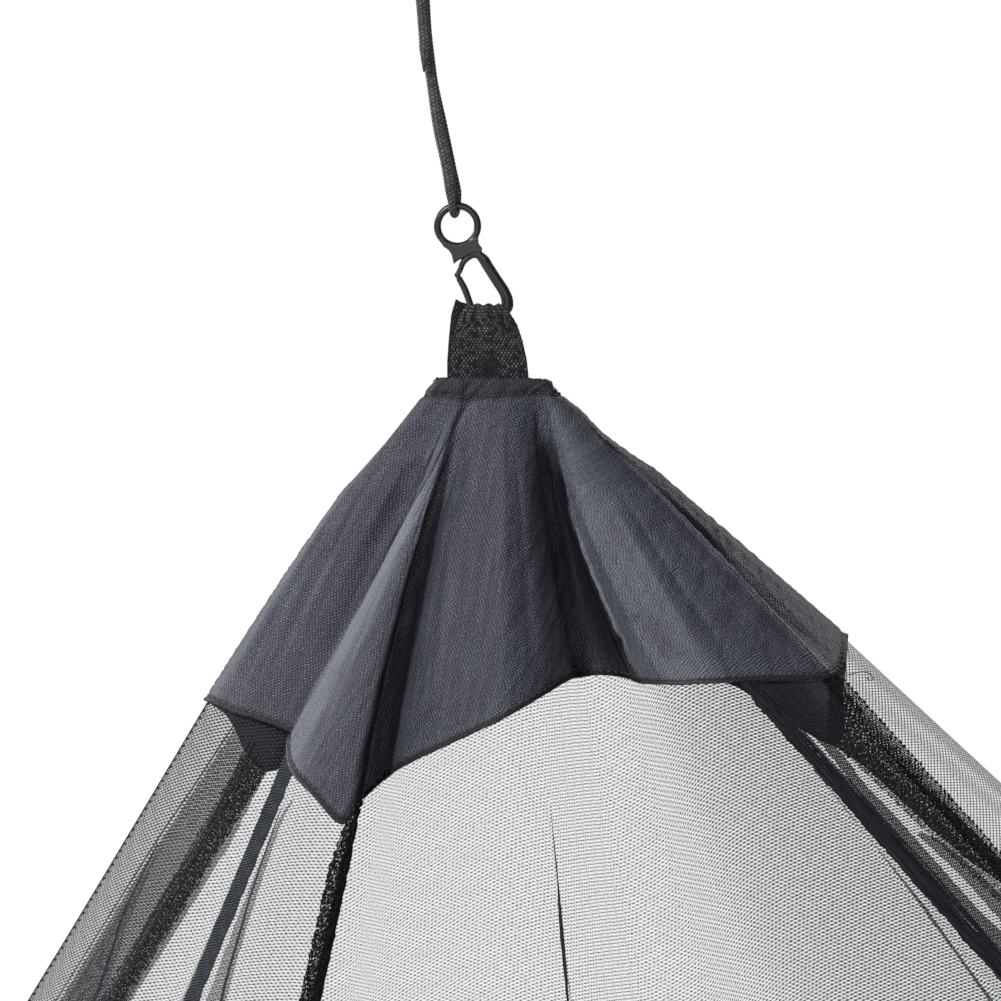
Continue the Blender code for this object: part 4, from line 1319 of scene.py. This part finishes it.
def buildTapes():
    pieces = {}
    for name, node, fold, kind, left, right in tape["runs"]:
        middle = foldAt(fold)
        across = np.linspace(left, right, tape["columns"] + 1)
        rows, length = tapeRows(name, middle, across)
        addWear(rows, length, middle, across, tape["raggedFree"] if name in tape["facing"] else 1.0)
        coords = stacked(across[None], length[:, None])
        made = sheetPiece(name, rows, coords, tapeLook(kind, left, right))
        thicken(made, tape["thick"], -1.0)
        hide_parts(node)
        pieces[name] = made
    print("stage: tapes")
    return pieces


tapePieces = buildTapes()


# net: four panels of knitted mesh, sewn in under the cap's hem, with the folds that it was packed in

net = {
    "holeWide": 2.45,
    "holeTall": 1.285,
    "marks": 0.42,  # how much of the light the knots and the threads between them hold back
    "threads": 0.5,
    "folded": 1.7,  # how much finer the mesh looks where folds cross
    # its colours where it hangs once and where it is doubled, each from darker to lighter
    "once": ((0.01, 0.011, 0.016), (0.034, 0.035, 0.052)),
    "twice": ((0.004, 0.004, 0.005), (0.016, 0.016, 0.02)),
    # how its surface wanders: height, how often round and down, and seed
    "wander": ((1.0, 0.9, 3.0, 5.0), (0.4, 2.3, 6.0, 1.0)),
    "wanderHeight": 5.0,
    "wanderStart": 0.35,  # how far down that height is reached
    "foldWander": ((1.0, 0.35, 1.0, 2.0), (0.5, 1.1, 1.0, 6.0)),
    "foldSway": (0.16, 3.0),  # how much of its width a fold sways, up to which width
    "foldSteps": 45,
    # the tapes and folds sewn to each panel
    "tapes": {
        "Left": ("seamTapeBackLeft", "openingTapeLeft"),
        "Front": ("seamTapeFrontLeft", "openingTapeRight"),
        "Right": ("seamTapeFrontRight", "seamTapeBackRight"),
        "Back": (),
    },
    # pressed fold lines that still stand: fold position, half width, height at the hem
    "pleats": ((14.06, 0.03, 0.9), (20.75, 0.04, 0.9)),
    "pleatStart": (0.02, 0.03),  # how far down they begin, and over how much
    "tuckFalls": (-0.006, -0.003),  # of the two rows sewn in under the cap
    # doubled folds of net: panel, how dense, how deep inside, and at points down it the level and fold
    # position of its left edge and of its right edge, or one level and the two fold positions
    "foldColumns": 8,
    "doubled": {
        "netFoldLeft": ("Left", 1.6, 3.0, (
            (0.0, 0.96, 0.0, 2.36), (0.023, 0.9, 0.03, 2.38), (0.052, 0.8, 0.047, 2.3),
            (0.078, 0.78, 0.074, 2.14), (0.112, 0.76, 0.108, 1.96), (1.0, 0.7, 1.0, 1.7),
        )),
        "netFoldLeftInner": ("Left", 1.3, 5.0, (
            (0.046, 0.78, 0.045, 0.8), (0.064, 0.74, 0.064, 1.08), (0.08, 0.73, 0.08, 1.36),
            (0.1, 0.73, 0.096, 1.56), (0.112, 0.72, 0.11, 1.64), (1.0, 0.7, 1.0, 1.3),
        )),
        "netFoldLeftCrease": ("Left", 2.2, 1.9, (
            (0.044, 0.86, 0.044, 0.9), (0.064, 1.04, 0.064, 1.1), (0.08, 1.32, 0.08, 1.38),
            (0.097, 1.52, 0.097, 1.58), (0.112, 1.62, 0.11, 1.68), (1.0, 1.3, 1.0, 1.33),
        )),
        "netCreaseLeft": ("Left", 2.2, 1.9, (
            (0.0, 0.94, 0.99), (0.023, 0.88, 0.93), (0.052, 0.78, 0.83), (0.078, 0.76, 0.8),
            (0.112, 0.74, 0.78), (1.0, 0.7, 0.71),
        )),
        "netSeamLeft": ("Left", "glitter", -0.4, (
            (0.01, 1.76, 0.014, 2.56), (0.027, 1.8, 0.026, 2.38), (0.039, 1.84, 0.037, 2.28),
            (0.055, 1.82, 0.057, 2.2), (0.07, 1.8, 0.066, 2.14), (0.088, 1.8, 0.084, 2.05),
            (0.108, 1.79, 0.106, 1.96), (1.0, 1.75, 1.0, 1.8),
        )),
        "netSeamLeftA": ("Left", 3.0, -0.7, (
            (0.007, 1.66, 1.7), (0.038, 1.8, 1.84), (0.068, 1.72, 1.76), (0.096, 1.78, 1.81),
            (0.112, 1.79, 1.82), (1.0, 1.75, 1.76),
        )),
        "netSeamLeftB": ("Left", 3.0, -0.7, (
            (0.006, 1.76, 1.8), (0.038, 1.89, 1.93), (0.068, 1.81, 1.85), (0.096, 1.86, 1.89),
            (0.112, 1.87, 1.9), (1.0, 1.8, 1.81),
        )),
        "netFoldPleat": ("Left", 1.45, 1.8, (
            (0.007, 5.26, 0.007, 5.32), (0.022, 5.04, 0.021, 5.22), (0.038, 4.96, 0.037, 5.26),
            (0.055, 4.94, 0.052, 5.32), (0.068, 4.94, 0.066, 5.38), (0.08, 4.96, 0.078, 5.45),
            (1.0, 5.0, 1.0, 5.4),
        )),
        "netCreasePleat": ("Left", 3.0, -0.4, (
            (0.012, 5.2, 5.23), (0.021, 5.2, 5.24), (0.037, 5.22, 5.27), (0.052, 5.29, 5.35),
            (0.066, 5.35, 5.41), (0.078, 5.42, 5.48), (1.0, 5.4, 5.42),
        )),
        "netCreaseFront": ("Front", 3.0, -0.3, (
            (0.04, 14.085, 14.1), (0.057, 14.06, 14.09), (0.075, 14.03, 14.065),
            (0.104, 14.0, 14.035), (0.12, 13.98, 14.01), (1.0, 13.95, 13.96),
        )),
        "netCreaseRight": ("Front", 2.0, -0.3, (
            (0.03, 20.83, 20.84), (0.044, 20.79, 20.81), (0.055, 20.75, 20.775), (0.07, 20.73, 20.76),
            (0.088, 20.69, 20.72), (0.108, 20.64, 20.68), (0.118, 20.62, 20.66), (1.0, 20.55, 20.565),
        )),
        "netFoldDoorA": ("Front", 2.3, 2.0, (
            (0.002, 21.12, 0.002, 21.17), (0.015, 21.14, 0.014, 21.2), (0.025, 21.14, 0.024, 21.2),
            (0.036, 21.14, 0.035, 21.22), (0.049, 21.14, 0.048, 21.22), (0.064, 21.16, 0.062, 21.24),
            (0.088, 21.14, 0.086, 21.22), (1.0, 21.1, 1.0, 21.12),
        )),
        "netFoldDoorB": ("Front", 2.0, 3.0, (
            (0.012, 21.27, 0.012, 21.3), (0.025, 21.26, 0.023, 21.4), (0.036, 21.22, 0.034, 21.36),
            (0.047, 21.2, 0.044, 21.38), (0.06, 21.24, 0.058, 21.38), (0.074, 21.22, 0.072, 21.38),
            (0.088, 21.22, 0.084, 21.44), (1.0, 21.2, 1.0, 21.3),
        )),
        "netFoldCorner": ("Front", 1.8, 4.0, (
            (0.049, 21.46, 0.048, 21.54), (0.056, 21.5, 0.054, 21.68), (0.066, 21.54, 0.064, 21.76),
            (0.076, 21.54, 0.074, 21.8), (0.086, 21.56, 0.084, 21.8), (1.0, 21.6, 1.0, 21.75),
        )),
        "netSeamCorner": ("Front", "dense", -0.4, (
            (0.02, 21.26, 0.002, 21.78), (0.032, 21.42, 0.021, 21.78), (0.047, 21.5, 0.034, 21.84),
            (0.06, 21.6, 0.046, 21.92), (0.07, 21.74, 0.06, 21.97), (0.082, 21.82, 0.072, 22.0),
            (1.0, 21.9, 1.0, 22.0),
        )),
    },
    # the stitched edge of the fold that stands out furthest to the left: width, direction, and how far out
    "boundWidth": 1.15,
    "boundWay": (1.0, -0.12, 0.0),
    "boundOut": 0.25,
    # how dense the cloth hangs at each fold position
    "density": (
        (0, 1.5), (0.9, 1.5), (2.6, 1.1), (6, 1.15), (8, 1.0), (16, 1.0), (18, 1.08), (19.5, 1.3),
        (21, 1.4), (22, 1.25), (23.2, 1.25), (24.0, 0.34), (30.0, 0.34), (31, 1.5),
    ),
}


def netSurface():
    extra = [p + side * width for p, width, _ in net["pleats"] for side in (-1, -0.5, 0, 0.5, 1)]
    positions = ringPositions(canopy["netStep"], extra)
    tucks = [ringLine(capFolds(down), positions) for down in (canopy["tuck"], (1 + canopy["tuck"]) / 2)]
    downs = (np.arange(canopy["netRows"]) / (canopy["netRows"] - 1)) ** canopy["netRowPower"]
    rows = np.array([*tucks, *(ringLine(netFolds(down), positions) for down in downs)])
    normals = outward(rows)
    fall = np.concatenate((net["tuckFalls"], downs))
    push = np.zeros(rows.shape[:2]) - canopy["netInset"] - canopy["netSlack"] * fall[:, None]
    hemSpan = ringArc(rows[2], positions, 0)[0][-1]
    begin, over = net["pleatStart"]
    for i, down in enumerate(fall):
        arc, _ = ringArc(rows[i], positions, 0)
        spread = arc[-1] / hemSpan
        for spot, width, height in net["pleats"]:
            away = abs(positions - spot) / width
            push[i] += height * spread * np.clip(1 - away, 0.0, 1.0) * smoothStep((down - begin) / over)
        wander = rippleAt(positions, down, net["wander"])
        push[i] += wander * net["wanderHeight"] * smoothStep(down / net["wanderStart"])
    return rows + normals * push[:, :, None], normals, positions, fall


def netLook():
    made, tree, shader = newMaterial("netMesh")
    place, across, down = clothPlace(tree)
    _, density, _ = clothPlace(tree, "extra")
    drift = noiseAt(place, 0.03, 2.0)
    jitter = maths("MULTIPLY", noiseAt(place, 0.7, 2.0), 0.9)
    a, b = (
        maths("MULTIPLY_ADD", value, 2 * pi / size, maths("MULTIPLY_ADD", drift, sway, jitter))
        for value, size, sway in ((across, net["holeWide"], 1.5), (down, net["holeTall"], 1.0))
    )
    leaning = maths("COSINE", maths("ADD", a, b))
    crossed = maths("COSINE", maths("SUBTRACT", a, b))
    knots = maths("MULTIPLY_ADD", leaning, 0.62, maths("MULTIPLY", crossed, 0.38))
    rungs = maths("COSINE", maths("MULTIPLY", b, 2.0))
    holes = maths("ADD", knots, maths("MULTIPLY", rungs, 0.4))
    threads = ramp(holes, 0.45, -0.75, 0.0, net["threads"])
    marks = ramp(knots, -0.42, -0.92, 0.0, net["marks"])
    uneven = ramp(noiseAt(place, 0.9, 2.0), 0.3, 0.7, 0.75, 1.3)
    lattice = product(maths("ADD", threads, marks), uneven)
    doubled = maths("MAXIMUM", maths("SUBTRACT", density, 1.0), 0.0)
    mottled = noiseAt(place, 0.4, 3.0)
    once, twice = mixColour(mottled, *net["once"]), mixColour(mottled, *net["twice"])
    setInputs(shader, {
        "Alpha": maths("MULTIPLY_ADD", lattice, density, maths("MULTIPLY", doubled, 0.5)),
        "Base Color": mixColour(ramp(density, 1.25, 1.6), once, twice),
        "Roughness": 0.65,
        "Specular IOR Level": 0.2,
    })
    return made


def spotOn(surface, levels, positions, down, spot):  # where a level and a fold position lie on a surface
    i = np.interp(down, levels, np.arange(len(levels)))
    j = np.interp(spot, positions, np.arange(len(positions)))
    row, column = np.minimum(i.astype(int), len(levels) - 2), np.minimum(j.astype(int), len(positions) - 2)
    i, j = (i - row)[..., None], (j - column)[..., None]
    upper = surface[row, column] * (1 - j) + surface[row, column + 1] * j
    lower = surface[row + 1, column] * (1 - j) + surface[row + 1, column + 1] * j
    return upper * (1 - i) + lower * i


def buildFold(name, surface, looks):  # a doubled fold of net, a little way inside its panel
    rows, normals, positions, levels = surface
    _, density, inset, edges = net["doubled"][name]
    part = np.linspace(0.0, 1.0, net["foldColumns"] + 1)
    edges = [row if len(row) == 4 else (row[0], row[1], row[0], row[2]) for row in edges]
    fine = smoothPath(edges, net["foldSteps"])
    down = np.clip(fine[:, :1] * (1 - part) + fine[:, 2:3] * part, 0.0, 1.0)
    spot = fine[:, 1:2] * (1 - part) + fine[:, 3:4] * part
    grid = spotOn(rows, levels, positions, down, spot)
    grid = grid - spotOn(normals, levels, positions, down, spot) * inset
    along = runLengths(grid[:, 0])
    wide = lengths(grid[:, -1] - grid[:, 0])
    much, limit = net["foldSway"]
    sway = rippleAt(along, inset, net["foldWander"]) * np.minimum(wide[:, 0], limit) * much
    grid = grid + ((grid[:, -1:] - grid[:, :1]) / wide[:, None]) * sway[:, None, None]
    coords = stacked(part * wide, along[:, None])
    if density in looks:
        return sheetPiece(name, grid, coords, looks[density])
    return sheetPiece(name, grid, coords * net["folded"], looks["net"], stacked(density, down))


def buildEdge(rows, look):  # the stitched edge down the left silhouette
    edge = rows[2:][np.arange(len(rows) - 2), np.argmin(rows[2:, :, 0], axis=1)]
    line, marks = evenPath(edge, 1.0)
    inward = np.linspace(0.0, net["boundWidth"], 4)
    grid = line[:, None] + inward[None, :, None] * np.array(net["boundWay"]) - (net["boundOut"], 0.0, 0.0)
    return sheetPiece("netEdgeLeft", grid, stacked(inward[None], marks[:, None]), look)


def buildNet():
    looks = {"net": netLook()}
    looks.update({kind: tapeLook(kind, -1.0, 1.0) for kind in ("glitter", "dense", "bound")})
    surface = rows, _, positions, _ = netSurface()
    pieces = {panel: [tapePieces[name] for name in net["tapes"][panel]] for panel in panels}
    for name, (panel, *_) in net["doubled"].items():
        pieces[panel].append(buildFold(name, surface, looks))
    pieces["Left"].append(buildEdge(rows, looks["bound"]))
    for panel in panels:
        grid, coords = panelGrid(rows, positions, panel, canopy["netSquareRow"])
        density = np.interp(positions[panelColumns(positions, panel)], *zip(*net["density"]))
        sheer = np.broadcast_to(density, coords.shape[:2])
        made = sheetPiece("net" + panel, grid, coords, looks["net"], stacked(sheer, sheer))
        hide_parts("net_" + panel.lower())
    print("stage: net")


buildNet()


# pale floor and soft studio light

studio = {
    "floorRadius": 8.0,
    "floorGap": 0.0006,
    "floorColours": ((0.8, 0.8, 0.8), (0.84, 0.84, 0.84)),
    "fade": (1.8, 6.5, 0.08, 0.86),  # far off, the floor turns as white as the backdrop
    "fill": 0.12,
    # name, where from, size, watts
    "lights": (
        ("key", (-3.2, -4.2, 4.2), 1.4, 380.0),
        ("front", (-0.2, -6.0, 1.4), 3.0, 70.0),
        ("side", (-4.4, 2.0, 1.6), 1.4, 150.0),
        ("back", (2.4, 4.2, 2.6), 1.6, 60.0),
    ),
    "aim": (0.03, 0.0, -0.22),
}


def buildFloor():
    low = cadBox[0].z - studio["floorGap"]
    built = bmesh.new()
    bmesh.ops.create_circle(built, cap_ends=True, segments=128, radius=studio["floorRadius"])
    bmesh.ops.translate(built, vec=(0.0, 0.0, low), verts=built.verts)
    look, tree, shader = newMaterial("paleFloor")
    place = objectPlace(tree)
    away = worked("ShaderNodeVectorMath", {0: place}, "Value", operation="LENGTH")
    seen = addNode(tree, "ShaderNodeLightPath")["Is Camera Ray"]
    setInputs(shader, {
        "Base Color": mixColour(noiseAt(place, 1.5, 2.0), *studio["floorColours"]),
        "Roughness": 0.6,
        "Emission Strength": product(seen, ramp(away, *studio["fade"])),
        "Emission Color": (1.0, 1.0, 1.0, 1.0),
    })
    newPiece("floor", built, look, body=None)


def buildLights():
    for name, place, size, watts in studio["lights"]:
        data = bpy.data.lights.new(name, "AREA")
        data.shape = "DISK"
        data.size = size
        data.energy = watts
        made = bpy.data.objects.new(name, data)
        made.location = place
        made.rotation_euler = (Vector(studio["aim"]) - Vector(place)).to_track_quat("-Z", "Y").to_euler()
        made.visible_camera = False
        bpy.context.scene.collection.objects.link(made)


def buildBackdrop():  # white to the camera, and dimmer as a light
    world = bpy.data.worlds.new("studio")
    world.use_nodes = True
    bpy.context.scene.world = world
    tree = world.node_tree
    seen = addNode(tree, "ShaderNodeLightPath")["Is Camera Ray"]
    strength = ramp(seen, 0.0, 1.0, studio["fill"], 1.0)
    setInputs(tree.nodes["Background"], {"Color": (1.0, 1.0, 1.0, 1.0), "Strength": strength})


def buildStudio():
    buildFloor()
    buildLights()
    buildBackdrop()
    scene = bpy.context.scene
    scene.view_settings.view_transform = "Standard"
    scene.cycles.transparent_max_bounces = 32
    print("stage: studio")


buildStudio()
